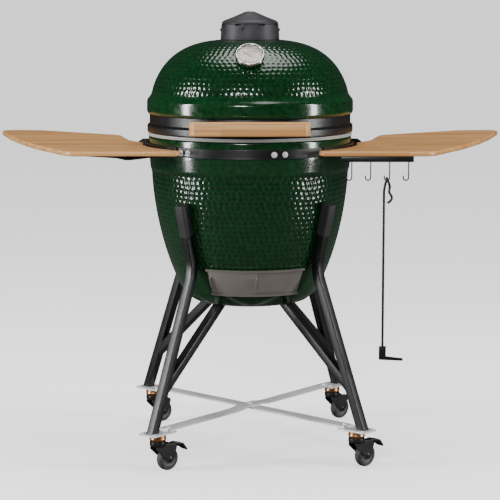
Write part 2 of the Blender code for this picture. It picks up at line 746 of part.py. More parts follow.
def make_thermometer(pivot):
    low, top = BEZEL_LOW, BEZEL_LOW + DIAL_DEEP
    rim = DIAL_RADIUS - 0.004
    profile = [(0, DIAL_FACE), (rim, DIAL_FACE), (rim, top), (DIAL_RADIUS - 0.002, top)]
    profile += [(DIAL_RADIUS, top - 0.003), (DIAL_RADIUS, low + 0.002), (DIAL_RADIUS - 0.003, low)]
    profile += [(0.012, low), (0.012, low - 0.004), (PROBE_RADIUS, low - 0.004)]
    profile += [(PROBE_RADIUS, low - PROBE_LENGTH), (0, low - PROBE_LENGTH - 0.004)]
    hang(smooth(on_dial(turned("thermometer_case", profile, CHROME, 28, closed=False))), pivot)

    glass_low = DIAL_FACE + 0.0036
    radius = rim - TOUCH
    profile = [(0, glass_low + 0.0018), (radius, glass_low + 0.0014), (radius, glass_low), (0, glass_low)]
    hang(smooth(on_dial(turned("thermometer_glass", profile, GLASS, 28, closed=False))), pivot)

    low = DIAL_FACE + 0.0008
    outline = [(-0.0012, -0.008), (0.0012, -0.008), (0.0006, rim - 0.008), (-0.0006, rim - 0.008)]
    needle = slab("thermometer_needle", outline, 0.0010, RED)
    move(needle, Matrix.Translation((0, 0, low + 0.0005)))
    hub = rod("hub", (0, 0, low - 0.0003), (0, 0, low + 0.0018), 0.0030, steps=12)
    fuse(needle, hub)
    move(needle, Matrix.Rotation(math.radians(60), 4, "Z"))
    on_dial(needle)
    centre, along = dial_axis()
    hub_point = empty("needle_axis", centre + along * low, pivot)
    hang(needle, hub_point)


# ---- Chimney vent ------------------------------------------------------------------
def slot_ring(radius, low, high):
    """Radial blocks that cut a ring of slots."""
    blocks = []
    for i in range(VENT_SLOTS // 2):
        turn = math.pi * (i + 0.5) * 2 / VENT_SLOTS
        blocks.append(box("slot", (3 * radius, SLOT_WIDE, high - low), (0, 0, (low + high) / 2), turn=turn))
    return blocks


def make_vent(pivot):
    low = dome_height(VENT_RADIUS) + TOUCH
    inside = VENT_TOP_RADIUS - VENT_WALL
    profile = [(VENT_TOP_RADIUS, VENT_TOP), (VENT_TOP_RADIUS, VENT_TOP - 0.008), (VENT_RADIUS, low)]
    profile += [(VENT_THROAT, low), (VENT_THROAT, low - 0.022), (VENT_THROAT - 0.004, low - 0.022)]
    profile += [(VENT_THROAT - 0.004, low + 0.005), (inside, low + 0.005), (inside, VENT_TOP)]
    base = turned("vent_base", profile, CAST_IRON, 32)
    cut(base, *slot_ring(VENT_RADIUS, VENT_TOP - SLOT_TALL, VENT_TOP + 0.01))
    z = low + (VENT_TOP - low) * 0.62
    pegs = []
    for side in (-1, 1):
        start, end = side * (VENT_TOP_RADIUS - 0.002), side * (VENT_RADIUS + 0.0035)
        pegs.append(rod("peg", (start, 0, z), (end, 0, z), 0.003, steps=8))
    hang(smooth(fuse(base, *pegs), 30), pivot)

    axis = empty("vent_axis", (0, 0, VENT_TOP), pivot)
    roof = VENT_TOP + TOUCH
    edge = VENT_TOP_RADIUS - 0.001
    sleeve = inside - 0.0008
    profile = [(0, ROOF_APEX), (0.012, ROOF_APEX - 0.001), (0.026, ROOF_APEX - 0.008)]
    profile += [(edge - 0.006, roof + ROOF_EDGE_TALL + 0.003), (edge, roof + ROOF_EDGE_TALL - 0.002)]
    profile += [(edge, roof), (sleeve, roof), (sleeve, VENT_TOP - 0.018), (sleeve - 0.003, VENT_TOP - 0.018)]
    profile += [(sleeve - 0.003, roof), (0, roof + 0.012)]
    cap = turned("vent_cap", profile, CAST_IRON, 32, closed=False)
    cut(cap, *slot_ring(sleeve, VENT_TOP - SLOT_TALL, VENT_TOP - 0.0003))
    azimuth = -math.pi / 2 - math.radians(14)
    arm = box("arm", (0.012, 0.007, 0.005), polar(edge + 0.0015, azimuth, roof + 0.0025), turn=azimuth)
    place = polar(VENT_TOP_RADIUS + 0.004, azimuth, roof - 0.004)
    lever = box("lever", (0.004, 0.0069, 0.0179), place, turn=azimuth)
    fuse(cap, arm, lever)
    hang(smooth(cap, 30), axis)


# ---- Draft door --------------------------------------------------------------------
def door_profile(offset, thickness, low, high):
    """Section of a sheet that lies over the bowl's slope, a given distance off it."""
    slope = (bowl_radius(DOOR_TOP) - bowl_radius(DOOR_BOTTOM)) / (DOOR_TOP - DOOR_BOTTOM)
    middle = (DOOR_TOP + DOOR_BOTTOM) / 2
    start = bowl_radius(middle) + DOOR_STAND_OFF

    def radius(z):
        return start + (z - middle) * slope + offset

    outer = [(radius(high) + thickness, high), (radius(low) + thickness, low)]
    return outer + [(radius(low), low), (radius(high), high)]


def make_draft_door(frame):
    start, end = DOOR_AXIS - DOOR_HALF, DOOR_AXIS + DOOR_HALF
    plate = sector("door_frame", door_profile(0, SHEET, DOOR_BOTTOM, DOOR_TOP), start, end, STAINLESS, 12)
    lips = []
    lip_depth = 2 * SHEET + SCREEN_SHEET + 3 * SHEET_GAP + SHEET
    for low, high in ((DOOR_TOP - 0.0018, DOOR_TOP), (DOOR_BOTTOM, DOOR_BOTTOM + 0.0018)):
        lips.append(sector("lip", door_profile(SHEET * 0.5, lip_depth, low, high), start, end, steps=12))
    face = 2 * SHEET + SCREEN_SHEET + 3 * SHEET_GAP
    for low, high in ((DOOR_TOP - LIP, DOOR_TOP - 0.0009), (DOOR_BOTTOM + 0.0009, DOOR_BOTTOM + LIP)):
        lips.append(sector("return", door_profile(face, SHEET, low, high), start, end, steps=12))
    fuse(plate, *lips)
    cut(plate, draft_window("window", WINDOW_NEAR, WINDOW_FAR))
    hang(plate, frame)

    low, high = DOOR_BOTTOM + 0.0025, DOOR_TOP - 0.0025
    left, right = start + math.radians(1.5), DOOR_AXIS + math.radians(1.0)
    offset = SHEET + SHEET_GAP
    axis = empty("door_axis", (0, 0, (DOOR_TOP + DOOR_BOTTOM) / 2), frame)
    screen = sector("mesh_screen", door_profile(offset, SCREEN_SHEET, low, high), left, right, STAINLESS, 6)
    holes = []
    for row in range(3):
        z = WINDOW_BOTTOM + (WINDOW_TOP - WINDOW_BOTTOM) * (row + 0.5) / 3
        for column in range(6):
            azimuth = WINDOW_START + (WINDOW_END - WINDOW_START) * (column + 0.5) / 6
            holes.append(rod("hole", polar(0.1, azimuth, z), polar(0.3, azimuth, z), 0.0045, steps=6))
    cut(screen, *holes)
    hang(screen, axis)

    offset += SCREEN_SHEET + SHEET_GAP
    door = sector("draft_door", door_profile(offset, SHEET, low, high), left, right, STAINLESS, 6)
    tabs = []
    tab_profile = door_profile(offset + SHEET * 0.5, 0.008, DOOR_BOTTOM + 0.020, DOOR_TOP - 0.020)
    for azimuth in (left + math.radians(0.8), right - math.radians(0.8)):
        tabs.append(sector("tab", tab_profile, azimuth - 0.006, azimuth + 0.006, steps=1))
    fuse(door, *tabs)
    hang(door, axis)


# ---- Stand -------------------------------------------------------------------------
LEG_NAMES = ("front_left", "front_right", "rear_right", "rear_left")
LEG_TURNS = (
    math.pi + LEG_AZIMUTH + STAND_TURN,
    2 * math.pi - LEG_AZIMUTH + STAND_TURN,
    LEG_AZIMUTH + STAND_TURN,
    math.pi - LEG_AZIMUTH + STAND_TURN,
)


def post_reach(z):
    """Distance of the post's middle from the bowl's axis."""
    top = bowl_radius(POST_TOP) + POST_GAP + TUBE / 2
    elbow = bowl_radius(ELBOW_Z) + POST_GAP + TUBE / 2
    return elbow + (top - elbow) * (z - ELBOW_Z) / (POST_TOP - ELBOW_Z)


def leg_reach(z):
    """Distance of the leg's middle from the bowl's axis."""
    return FOOT_REACH + (post_reach(ELBOW_Z) - FOOT_REACH) * (z - FOOT_Z) / (ELBOW_Z - FOOT_Z)


def make_leg(name, azimuth, frame):
    side = Vector((-math.sin(azimuth), math.cos(azimuth), 0))
    top = polar(post_reach(POST_TOP), azimuth, POST_TOP)
    elbow = polar(post_reach(ELBOW_Z), azimuth, ELBOW_Z)
    below = FOOT_Z - 0.03
    foot = polar(leg_reach(below), azimuth, below)
    down = (elbow - foot).normalized()
    up = (top - elbow).normalized()
    leg = beam("leg_" + name, foot, elbow + down * TUBE * 0.3, TUBE, TUBE, side, BLACK_STEEL)
    post = beam("post", elbow - up * TUBE * 0.3, top, TUBE * 0.999, TUBE, side)
    brace_foot = polar(leg_reach(BRACE_FOOT_Z), azimuth, BRACE_FOOT_Z)
    brace_top = polar(BRACE_TOP_REACH, azimuth, BRACE_TOP_Z)
    brace_end = brace_top + (brace_top - brace_foot).normalized() * 0.03
    brace = beam("brace", brace_foot, brace_end, TUBE * 0.998, TUBE, side)
    fuse(leg, post, brace)
    floor = box("floor_cut", (1.2, 1.2, 0.1), (0, 0, FOOT_Z - 0.05))
    base = turned("bowl_space", bowl_clearance(), closed=False)
    cut(leg, floor, base)
    hang(leg, frame)

    start = top - up * CAP_LENGTH
    outer = TUBE + 2 * (TOUCH + CAP_WALL)
    cap = beam("leg_cap_" + name, start, top + up * 0.003, outer, outer, side, RUBBER)
    inner = TUBE + 2 * TOUCH
    cut(cap, beam("socket", start - up * 0.01, top + up * TOUCH, inner, inner, side))
    hang(cap, frame)


def bowl_clearance():
    """The outer shape of the bowl's lower half, one pad's gap larger."""
    gap = 0.001
    heights = spread(SHOULDER_Z - 0.1, BASE_Z + 0.028, 7)
    profile = [(0, heights[0])] + [(bowl_radius(z) + gap, z) for z in heights]
    profile += [(BASE_RADIUS + 0.026 + gap, BASE_Z + 0.006 - gap), (BASE_RADIUS, BASE_Z - gap)]
    return profile + [(0, BASE_Z - gap)]


def make_cross_bars(frame):
    """Two flat bars, corner to corner; the second is joggled over the first."""
    reach = FOOT_REACH - 0.045
    low = PLATE_Z + PLATE_THICK + TOUCH
    lift = BAR_THICK + TOUCH
    for name, corner, raised in (("cross_bar_a", 1, 0.0), ("cross_bar_b", 0, lift)):
        flat = [(-reach, 0), (-0.062, 0), (-0.030, raised), (0.030, raised), (0.062, 0), (reach, 0)]
        back = [(x, z + BAR_THICK) for x, z in reversed(flat)]
        bar = slab(name, flat + back, BAR_WIDE, STAINLESS)
        move(bar, Matrix.Rotation(math.pi / 2, 4, "X"))
        move(bar, Matrix.Translation((0, 0, low)))
        move(bar, Matrix.Rotation(LEG_TURNS[corner], 4, "Z"))
        bolts = []
        for end in (0, math.pi):
            place = polar(reach - 0.014, LEG_TURNS[corner] + end, low + BAR_THICK - 0.001)
            bolts.append(rod("bolt", place, place + Z_AXIS * 0.005, 0.006, steps=6))
        if raised:
            place = Vector((0, 0, low + BAR_THICK + raised - 0.001))
            bolts.append(rod("bolt", place, place + Z_AXIS * 0.005, 0.006, steps=6))
        fuse(bar, *bolts)
        hang(bar, frame)


# ---- Casters -----------------------------------------------------------------------
def make_caster(name, azimuth, frame, braked):
    """A caster drawn with its trail along +X about Z, then turned to its heading."""
    pivot = polar(CASTER_REACH, azimuth, 0)
    place = Matrix.Translation(pivot) @ Matrix.Rotation(CASTER_HEADING, 4, "Z")
    local_turn = azimuth - CASTER_HEADING

    profile = [(0, PLATE_Z + 0.001), (RACE_RADIUS, PLATE_Z + 0.001), (RACE_RADIUS + 0.001, RACE_Z + 0.006)]
    profile += [(RACE_RADIUS - 0.002, RACE_Z), (KINGPIN, RACE_Z), (KINGPIN, DECK_BOTTOM - 0.0005)]
    profile += [(0, DECK_BOTTOM - 0.0005)]
    mount = turned("caster_mount_" + name, profile, STAINLESS, SMALL_STEPS, closed=False)
    plate = box("plate", (0.088, 0.056, PLATE_THICK), (0, 0, PLATE_Z + PLATE_THICK / 2))
    move(plate, Matrix.Rotation(local_turn, 4, "Z"))
    fuse(mount, plate)
    move(mount, place)
    hang(smooth(mount, 30), frame)

    swivel = empty("swivel_" + name, pivot, frame)
    inside = WHEEL_WIDE / 2 + FORK_GAP
    profile = [(RACE_RADIUS, DECK_TOP), (RACE_RADIUS, DECK_BOTTOM + 0.004)]
    profile += [(RACE_RADIUS - 0.002, DECK_BOTTOM), (KINGPIN + RUNNING, DECK_BOTTOM)]
    profile += [(KINGPIN + RUNNING, DECK_TOP)]
    fork = turned("caster_fork_" + name, profile, BLACK_STEEL, SMALL_STEPS)
    outline = [(-0.013, DECK_BOTTOM + 0.006), (0.0145, DECK_BOTTOM + 0.006)]
    outline += [(TRAIL + 0.012, DECK_BOTTOM + 0.0025), (TRAIL + 0.0215, DECK_BOTTOM - 0.003)]
    outline += [(TRAIL + 0.0205, DECK_BOTTOM - 0.010), (TRAIL + 0.010, WHEEL_RADIUS - 0.0025)]
    outline += [(TRAIL + 0.0035, WHEEL_RADIUS - 0.009), (TRAIL - 0.0035, WHEEL_RADIUS - 0.009)]
    outline += [(TRAIL - 0.010, WHEEL_RADIUS - 0.0025), (-0.016, DECK_BOTTOM - 0.006)]
    pieces = []
    for side in (-1, 1):
        cheek = slab("cheek", outline, FORK_SHEET)
        move(cheek, Matrix.Rotation(math.pi / 2, 4, "X"))
        pieces.append(move(cheek, Matrix.Translation((0, side * (inside + FORK_SHEET / 2), 0))))
    reach = inside + FORK_SHEET
    hub = Vector((TRAIL, 0, WHEEL_RADIUS))
    ends = Vector((0, reach + 0.002, 0))
    pieces.append(rod("axle", hub - ends, hub + ends, AXLE_RADIUS, steps=SMALL_STEPS))
    hinge = Vector((PEDAL_X, 0, PEDAL_Z))
    if braked:
        ends = Vector((0, reach - 0.001, 0))
        pieces.append(rod("pedal_pin", hinge - ends, hinge + ends, PEDAL_PIN))
    fuse(fork, *pieces)
    move(fork, place)
    hang(smooth(fork, 30), swivel)

    spin = empty("axle_" + name, place @ hub, swivel)
    half = WHEEL_WIDE / 2
    bore = AXLE_RADIUS + RUNNING
    profile = [(bore, half), (0.010, half), (0.012, half - 0.003), (0.019, half - 0.003), (0.021, half)]
    profile += [(WHEEL_RADIUS - 0.003, half), (WHEEL_RADIUS, half - 0.004), (WHEEL_RADIUS, -half + 0.004)]
    profile += [(WHEEL_RADIUS - 0.003, -half), (bore, -half)]
    wheel = turned("wheel_" + name, profile, RUBBER, 24)
    move(wheel, Matrix.Rotation(math.pi / 2, 4, "X"))
    move(wheel, place @ Matrix.Translation(hub))
    hang(smooth(wheel, 30), spin)

    if braked:
        axis = empty("pedal_axis_" + name, place @ hinge, swivel)
        outline = [(-0.0045, 0.0035), (-0.003, 0.0055), (0.010, 0.0065), (0.030, 0.001), (0.042, -0.016)]
        outline += [(0.040, -0.019), (0.036, -0.017), (0.026, -0.003), (0.008, 0.0015)]
        outline += [(0.0045, -0.0035), (0, -0.0048), (-0.0045, -0.003)]
        pedal = slab("brake_pedal_" + name, outline, 2 * inside - 0.001, BLACK_STEEL)
        hole = rod("hole", (0, 0, -0.05), (0, 0, 0.05), PEDAL_PIN + RUNNING)
        cut(pedal, hole)
        move(pedal, Matrix.Rotation(math.pi / 2, 4, "X"))
        move(pedal, place @ Matrix.Translation(hinge))
        hang(pedal, axis)


# ---- Side shelves ------------------------------------------------------------------
def board_outline():
    """Plan of the right-hand board, from its nose round the front, tip and rear."""
    nose_y = SHELF_FRONT_Y + 0.022
    nose_x = math.sqrt((SHELF_INNER + 0.004) ** 2 - (SHELF_FRONT_Y + 0.044) ** 2)
    outline = []
    for i in range(6):
        angle = math.radians(90 + 36 * i)
        outline.append((nose_x + 0.004 + 0.022 * math.cos(angle), nose_y + 0.022 * math.sin(angle)))
    tip = SHELF_AXIS_X + SHELF_OUT
    ramp = SHELF_REAR_Y - SHELF_FRONT_Y
    corner = SHELF_AXIS_X + SHELF_OUT * 0.335
    outline += [(corner, SHELF_FRONT_Y), (corner + 0.022, SHELF_FRONT_Y + 0.014)]
    side = [(0.62, 0.28), (0.76, 0.48), (0.875, 0.68), (0.955, 0.85)]
    outline += [(SHELF_AXIS_X + SHELF_OUT * u, SHELF_FRONT_Y + ramp * v) for u, v in side]
    outline += [(tip, SHELF_FRONT_Y + ramp * 0.955), (tip - 0.008, SHELF_REAR_Y - 0.008)]
    outline += [(tip - 0.035, SHELF_REAR_Y)]
    rear = [(0.72, 0.985), (0.44, 0.87), (0.155, 0.755)]
    outline += [(SHELF_AXIS_X + SHELF_OUT * u, SHELF_FRONT_Y + ramp * v) for u, v in rear]
    outline += [(SHELF_AXIS_X + SHELF_OUT * 0.120, SHELF_FRONT_Y + ramp * 0.725)]
    outline += [(SHELF_AXIS_X + SHELF_OUT * 0.035, SHELF_FRONT_Y + ramp * 0.50)]
    end = math.atan2(nose_y + 0.022, nose_x + 0.004)
    start = math.radians(4)
    outline += [
        (SHELF_INNER * math.cos(angle), SHELF_INNER * math.sin(angle))
        for angle in spread(start, end, 7)[:-1]
    ]
    return outline


def mirrored(obj, side):
    """Flip a right-hand piece to the left where the side is -1."""
    if side < 0:
        obj.data.transform(Matrix.Scale(-1, 4, (1, 0, 0)))
        obj.data.flip_normals()
    return obj


def make_shelf(name, side, frame):
    underside = SHELF_Z - BOARD_THICK
    board = slab("shelf_" + name, board_outline(), BOARD_THICK, BAMBOO)
    move(board, Matrix.Translation((0, 0, SHELF_Z - BOARD_THICK / 2)))
    bevel = board.modifiers.new("Round", "BEVEL")
    bevel.width = 0.003
    bevel.segments = 1
    bevel.limit_method = "ANGLE"
    bevel.angle_limit = math.radians(60)
    axis = empty("fold_" + name, (side * SHELF_AXIS_X, 0, ROD_Z), frame)
    hang(mirrored(bake(board), side), axis)

    near = BOWL_BAND_RADIUS + TOUCH
    low, high = BOWL_BAND_BOTTOM + TOUCH, BOWL_BAND_TOP
    front, rear = ARM_STATIONS
    first, last = math.asin(front / near) - 0.16, math.asin(rear / near) + 0.12
    strap = [(near + ARM_THICK, high), (near + ARM_THICK, low), (near, low), (near, high)]
    bracket = sector("shelf_bracket_" + name, strap, first, last, BLACK_STEEL, 10)
    pieces = []
    for y, top in ((front, underside - 0.001), (rear, high - 0.001)):
        x_band = math.sqrt(near**2 - y**2) + 0.001
        outline = [(x_band, top), (x_band, low)]
        outline += [(SHELF_AXIS_X - 0.006, ROD_Z - 0.008), (SHELF_AXIS_X + 0.006, ROD_Z - 0.008)]
        outline += [(SHELF_AXIS_X + 0.008, ROD_Z), (SHELF_AXIS_X + 0.005, ROD_Z + 0.0075)]
        outline += [(SHELF_AXIS_X - 0.020, top - 0.001)]
        arm = slab("arm", outline, ARM_THICK)
        move(arm, Matrix.Rotation(math.pi / 2, 4, "X"))
        pieces.append(move(arm, Matrix.Translation((0, y, 0))))
    start, end = front - SUPPORT_OFFSET - 0.006, rear + SUPPORT_OFFSET + 0.006
    ends = [Vector((SHELF_AXIS_X, y, ROD_Z)) for y in (start, end)]
    pieces.append(rod("rod", *ends, ROD_RADIUS, steps=SMALL_STEPS))
    trim_to_band(fuse(bracket, *pieces), BOWL_BAND_RADIUS)
    hang(mirrored(bracket, side), frame)

    sheet = 0.0025
    plate_z = underside - TOUCH - sheet / 2
    webs = []
    for y, step, length in zip(ARM_STATIONS, (-1, 1), SUPPORT_REACHES):
        place = y + step * SUPPORT_OFFSET
        centre = (SHELF_AXIS_X + length / 2, place + step * 0.007, plate_z)
        flange = box("flange", (length, 0.018, sheet), centre)
        outline = [(-0.007, -0.007), (0.007, -0.007), (0.03, -0.002), (length, ROD_DROP - 0.004)]
        outline += [(length, ROD_DROP - TOUCH - 0.0005), (-0.007, ROD_DROP - TOUCH - 0.0005)]
        web = slab("web", outline, 0.004)
        move(web, Matrix.Rotation(math.pi / 2, 4, "X"))
        move(web, Matrix.Translation((SHELF_AXIS_X, place, ROD_Z)))
        webs.append(fuse(web, flange))
    reach = SUPPORT_OFFSET + 0.010
    centre = (SHELF_AXIS_X + TIE_OUT, (front + rear) / 2, plate_z - 0.0001)
    tie = box("tie", (0.022, rear - front + 2 * reach, sheet), centre)
    support = fuse(webs[0], webs[1], tie)
    ends = [Vector((SHELF_AXIS_X, y, ROD_Z)) for y in (-1, 1)]
    hole = rod("hole", *ends, ROD_RADIUS + RUNNING, steps=SMALL_STEPS)
    cut(support, hole)
    support.name = "shelf_arms_" + name
    link(support, PARTS, BLACK_STEEL)
    hang(mirrored(support, side), axis)
    return axis


# ---- Hook rail and ash tool --------------------------------------------------------
def hook_place(index):
    """Top of a hook's wire, on the front of the rail."""
    rail_low = SHELF_Z - BOARD_THICK - TOUCH - RAIL_TALL
    x = RAIL_INNER_X + HOOK_FIRST + 0.0135 + index * HOOK_PITCH
    return Vector((x, SHELF_FRONT_Y + 0.006, rail_low))


def make_hook_rail(axis):
    low = hook_place(0)
    centre = Vector((RAIL_INNER_X + RAIL_LENGTH / 2, low.y, low.z + RAIL_TALL / 2))
    rail = box("hook_rail", (RAIL_LENGTH, RAIL_THICK, RAIL_TALL), centre, BLACK_STEEL)
    flange_place = centre + Vector((0, 0.008, RAIL_TALL / 2 - 0.001))
    flange = box("flange", (RAIL_LENGTH - 0.02, 0.016, 0.002), flange_place)
    pieces = [flange]
    for i in range(4):
        top = hook_place(i)
        points = [(0, 0.004), (0, -HOOK_DROP + HOOK_BEND + 0.0005)]
        for k in range(1, 6):
            angle = math.pi * k / 5
            x = HOOK_BEND * (math.cos(angle) - 1)
            points.append((x, -HOOK_DROP + HOOK_BEND * (1 - math.sin(angle)) + 0.0005))
        points.append((-0.0135, -HOOK_DROP + 0.012))
        path = [(top.x + x, top.y, top.z + z) for x, z in points]
        pieces.append(wire("hook", path, HOOK_WIRE, sides=0))
    fuse(rail, *pieces)
    rail.name = "hook_rail"
    hang(rail, axis)


def make_ash_tool(axis):
    """A rod with a loop that hangs in a hook, and a flat blade bent at its foot.

    The rod hangs in front of the hooks, so that it swings past the next one.
    """
    top = hook_place(TOOL_HOOK)
    eye = Vector((top.x - HOOK_BEND, top.y, top.z - HOOK_DROP + HOOK_BEND + 0.0005))
    swing = empty("tool_swing", eye, axis)
    crest = eye - Vector((0, 0, HOOK_BEND - HOOK_WIRE - TOOL_ROD - 0.0007))
    side = 0.0065
    loop = [(-0.0075, -side, -0.030), (-0.004, -side, -0.012), (0, -side, 0), (0, side, 0)]
    loop += [(0.004, side, -0.010), (0.0075, 0, -0.020), (0.0060, -side, -0.028)]
    loop += [(0.0048, -side, -0.035), (0.0115, -side, -0.044), (0.0125, -side, -0.051)]
    loop += [(0.0075, -side, -0.058), (0.0010, -side, -0.062)]
    foot = crest + Vector((-0.0075, -side, -TOOL_LENGTH))
    path = [foot, foot + Vector((0, 0, TOOL_LENGTH / 2))]
    path += [crest + Vector(point) for point in loop]
    shaft = wire("ash_tool", path, TOOL_ROD, BLACK_STEEL)
    blade = box("blade", (0.018, 0.003, 0.034), foot + Vector((0, 0, -0.010)))
    outline = [(-0.009, 0.0), (-0.009, -0.016), (0.052, -0.019), (0.052, -0.012), (0.0, -0.006)]
    toe = slab("toe", outline, 0.0032)
    move(toe, Matrix.Rotation(math.pi / 2, 4, "X"))
    move(toe, Matrix.Translation(foot + Vector((0, 0, -0.012))))
    fuse(shaft, blade, toe)
    hang(shaft, swing)


# ---- Build -------------------------------------------------------------------------
def build():
    frame = empty("grill_frame", (0, 0, 0))
    frame.location = (0, AXIS_Y, 0)
    pivot = empty("lid_pivot", (0, HINGE_Y, HINGE_Z), frame)
    make_bowl(frame)
    make_lid(pivot)
    make_seals(frame, pivot)
    make_firebox(frame)
    make_fire_ring(frame)
    make_charcoal_grate(frame)
    make_cooking_grid(frame)
    make_bands(frame, pivot)
    make_hinge(frame, pivot)
    make_springs(frame)
    make_handle(pivot)
    make_thermometer(pivot)
    make_vent(pivot)
    make_draft_door(frame)
    for name, azimuth in zip(LEG_NAMES, LEG_TURNS):
        make_leg(name, azimuth, frame)
        make_caster(name, azimuth, frame, braked=name.startswith("front"))
    make_cross_bars(frame)
    make_shelf("left", -1, frame)
    right = make_shelf("right", 1, frame)
    make_hook_rail(right)
    make_ash_tool(right)


build()
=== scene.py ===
"""Looks of an egg-shaped ceramic charcoal grill on a wheeled stand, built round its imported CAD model."""

import json
import logging
import math
from collections.abc import Sequence
from dataclasses import dataclass, field
from enum import Enum

import bpy
import numpy as np
from mathutils import Matrix, Vector


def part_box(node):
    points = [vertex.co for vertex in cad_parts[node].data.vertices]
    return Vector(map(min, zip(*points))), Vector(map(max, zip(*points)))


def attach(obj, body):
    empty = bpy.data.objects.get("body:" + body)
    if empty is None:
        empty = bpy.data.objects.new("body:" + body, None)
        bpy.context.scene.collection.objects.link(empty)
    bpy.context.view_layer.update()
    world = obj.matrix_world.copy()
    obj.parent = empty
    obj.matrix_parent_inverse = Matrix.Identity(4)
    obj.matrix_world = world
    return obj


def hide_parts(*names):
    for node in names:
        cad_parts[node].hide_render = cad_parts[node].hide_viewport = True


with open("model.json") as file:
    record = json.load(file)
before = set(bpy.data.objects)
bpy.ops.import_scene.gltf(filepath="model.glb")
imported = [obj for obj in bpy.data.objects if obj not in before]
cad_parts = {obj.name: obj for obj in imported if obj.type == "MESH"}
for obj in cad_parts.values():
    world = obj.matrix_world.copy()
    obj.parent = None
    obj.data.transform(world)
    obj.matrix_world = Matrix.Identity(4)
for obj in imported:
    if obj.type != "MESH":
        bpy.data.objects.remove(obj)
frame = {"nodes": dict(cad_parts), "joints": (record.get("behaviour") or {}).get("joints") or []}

logging.basicConfig(level=logging.INFO, format="%(message)s")
LOG = logging.getLogger("grill")
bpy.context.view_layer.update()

Line = Sequence[float] | np.ndarray
Points = Sequence[Sequence[float]] | np.ndarray
Socket = bpy.types.NodeSocket
Colour = tuple[float, float, float]
CORNERS = ("front_left", "front_right", "rear_left", "rear_right")


def node_centre(node: str) -> Vector:
    """Middle of a CAD node's box."""
    low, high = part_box(node)
    return (Vector(low) + Vector(high)) / 2


AXIS = Vector((0.0, node_centre("bowl_band").y, 0.0))


# ---- Skins ---------------------------------------------------------------------------
@dataclass
class Skin:
    """A closed skin.

    Args:
        points: corners, one row each.
        faces: arrays of corner numbers; each array holds faces of one size.
        relief: one value per corner for a finish to read, or None.
        slots: for each array of faces, the number of its material.
    """

    points: np.ndarray
    faces: list[np.ndarray]
    relief: np.ndarray | None = None
    slots: list[int] = field(default_factory=list)

    def volume(self) -> float:
        """Signed volume: the sum of a.(b x c) / 6 over every face cut into a fan of triangles.

        Returns:
            The volume, which is below 0 when the faces point inwards.
        """
        total = 0.0
        middle = self.points.mean(axis=0)
        for loops in self.faces:
            first = self.points[loops[:, 0]] - middle
            for k in range(1, loops.shape[1] - 1):
                b = self.points[loops[:, k]] - middle
                c = self.points[loops[:, k + 1]] - middle
                total += float(np.einsum("ij,ij->", first, np.cross(b, c)))
        return total / 6

    def outward(self) -> "Skin":
        """Turn every face round if the skin is inside out.

        Returns:
            The same skin.
        """
        if self.volume() < 0:
            self.faces = [loops[:, ::-1] for loops in self.faces]
        return self

    def moved(self, matrix: Matrix) -> "Skin":
        """The same skin under a 4 x 4 matrix.

        Args:
            matrix: where its own axes go.

        Returns:
            The moved skin.
        """
        table = np.array(matrix)
        points = self.points @ table[:3, :3].T + table[:3, 3]
        return Skin(points, self.faces, self.relief, self.slots).outward()

    def shifted(self, x: float, y: float, z: float) -> "Skin":
        """The same skin moved along the axes."""
        return self.moved(Matrix.Translation((x, y, z)))

    def mirrored(self) -> "Skin":
        """The same skin flipped left to right."""
        return self.moved(Matrix.Scale(-1, 4, (1, 0, 0)))


def grid_faces(rows: int, columns: int, wrap_rows: bool, wrap_columns: bool) -> np.ndarray:
    """Four-sided faces of a grid of corners numbered row by row.

    Args:
        rows: rows of corners.
        columns: corners in a row.
        wrap_rows: whether the last row joins the first.
        wrap_columns: whether each row closes on itself.

    Returns:
        An array of four corner numbers per face.
    """
    r = np.arange(rows if wrap_rows else rows - 1)[:, None]
    c = np.arange(columns if wrap_columns else columns - 1)[None, :]
    down, right = (r + 1) % rows, (c + 1) % columns
    quad = np.stack(np.broadcast_arrays(
        r * columns + c, down * columns + c, down * columns + right, r * columns + right
    ), axis=-1)
    return quad.reshape(-1, 4)


def rounded(corners: Points, reach: float, count: int = 4, closed: bool = True) -> np.ndarray:
    """Corners rounded off.

    Each corner P gives the curve (1-t)^2 A + 2t(1-t) P + t^2 B, where A and B lie on the two
    edges beside it, at the given reach or at 0.48 of the edge.

    Args:
        corners: points of a line, in two or three dimensions.
        reach: distance from a corner at which its curve starts.
        count: points per corner.
        closed: whether the line is a loop.

    Returns:
        The points of the rounded line.
    """
    longest = 0.48
    p = np.asarray(corners, float)
    before, after = np.roll(p, 1, axis=0) - p, np.roll(p, -1, axis=0) - p
    long_before = np.linalg.norm(before, axis=1, keepdims=True)
    long_after = np.linalg.norm(after, axis=1, keepdims=True)
    start = p + before * np.minimum(reach / long_before, longest)
    end = p + after * np.minimum(reach / long_after, longest)
    t = np.linspace(0, 1, count)[None, :, None]
    curve = (1 - t) ** 2 * start[:, None] + 2 * t * (1 - t) * p[:, None] + t**2 * end[:, None]
    if closed:
        return curve.reshape(-1, p.shape[1])
    return np.concatenate([p[:1], curve[1:-1].reshape(-1, p.shape[1]), p[-1:]])


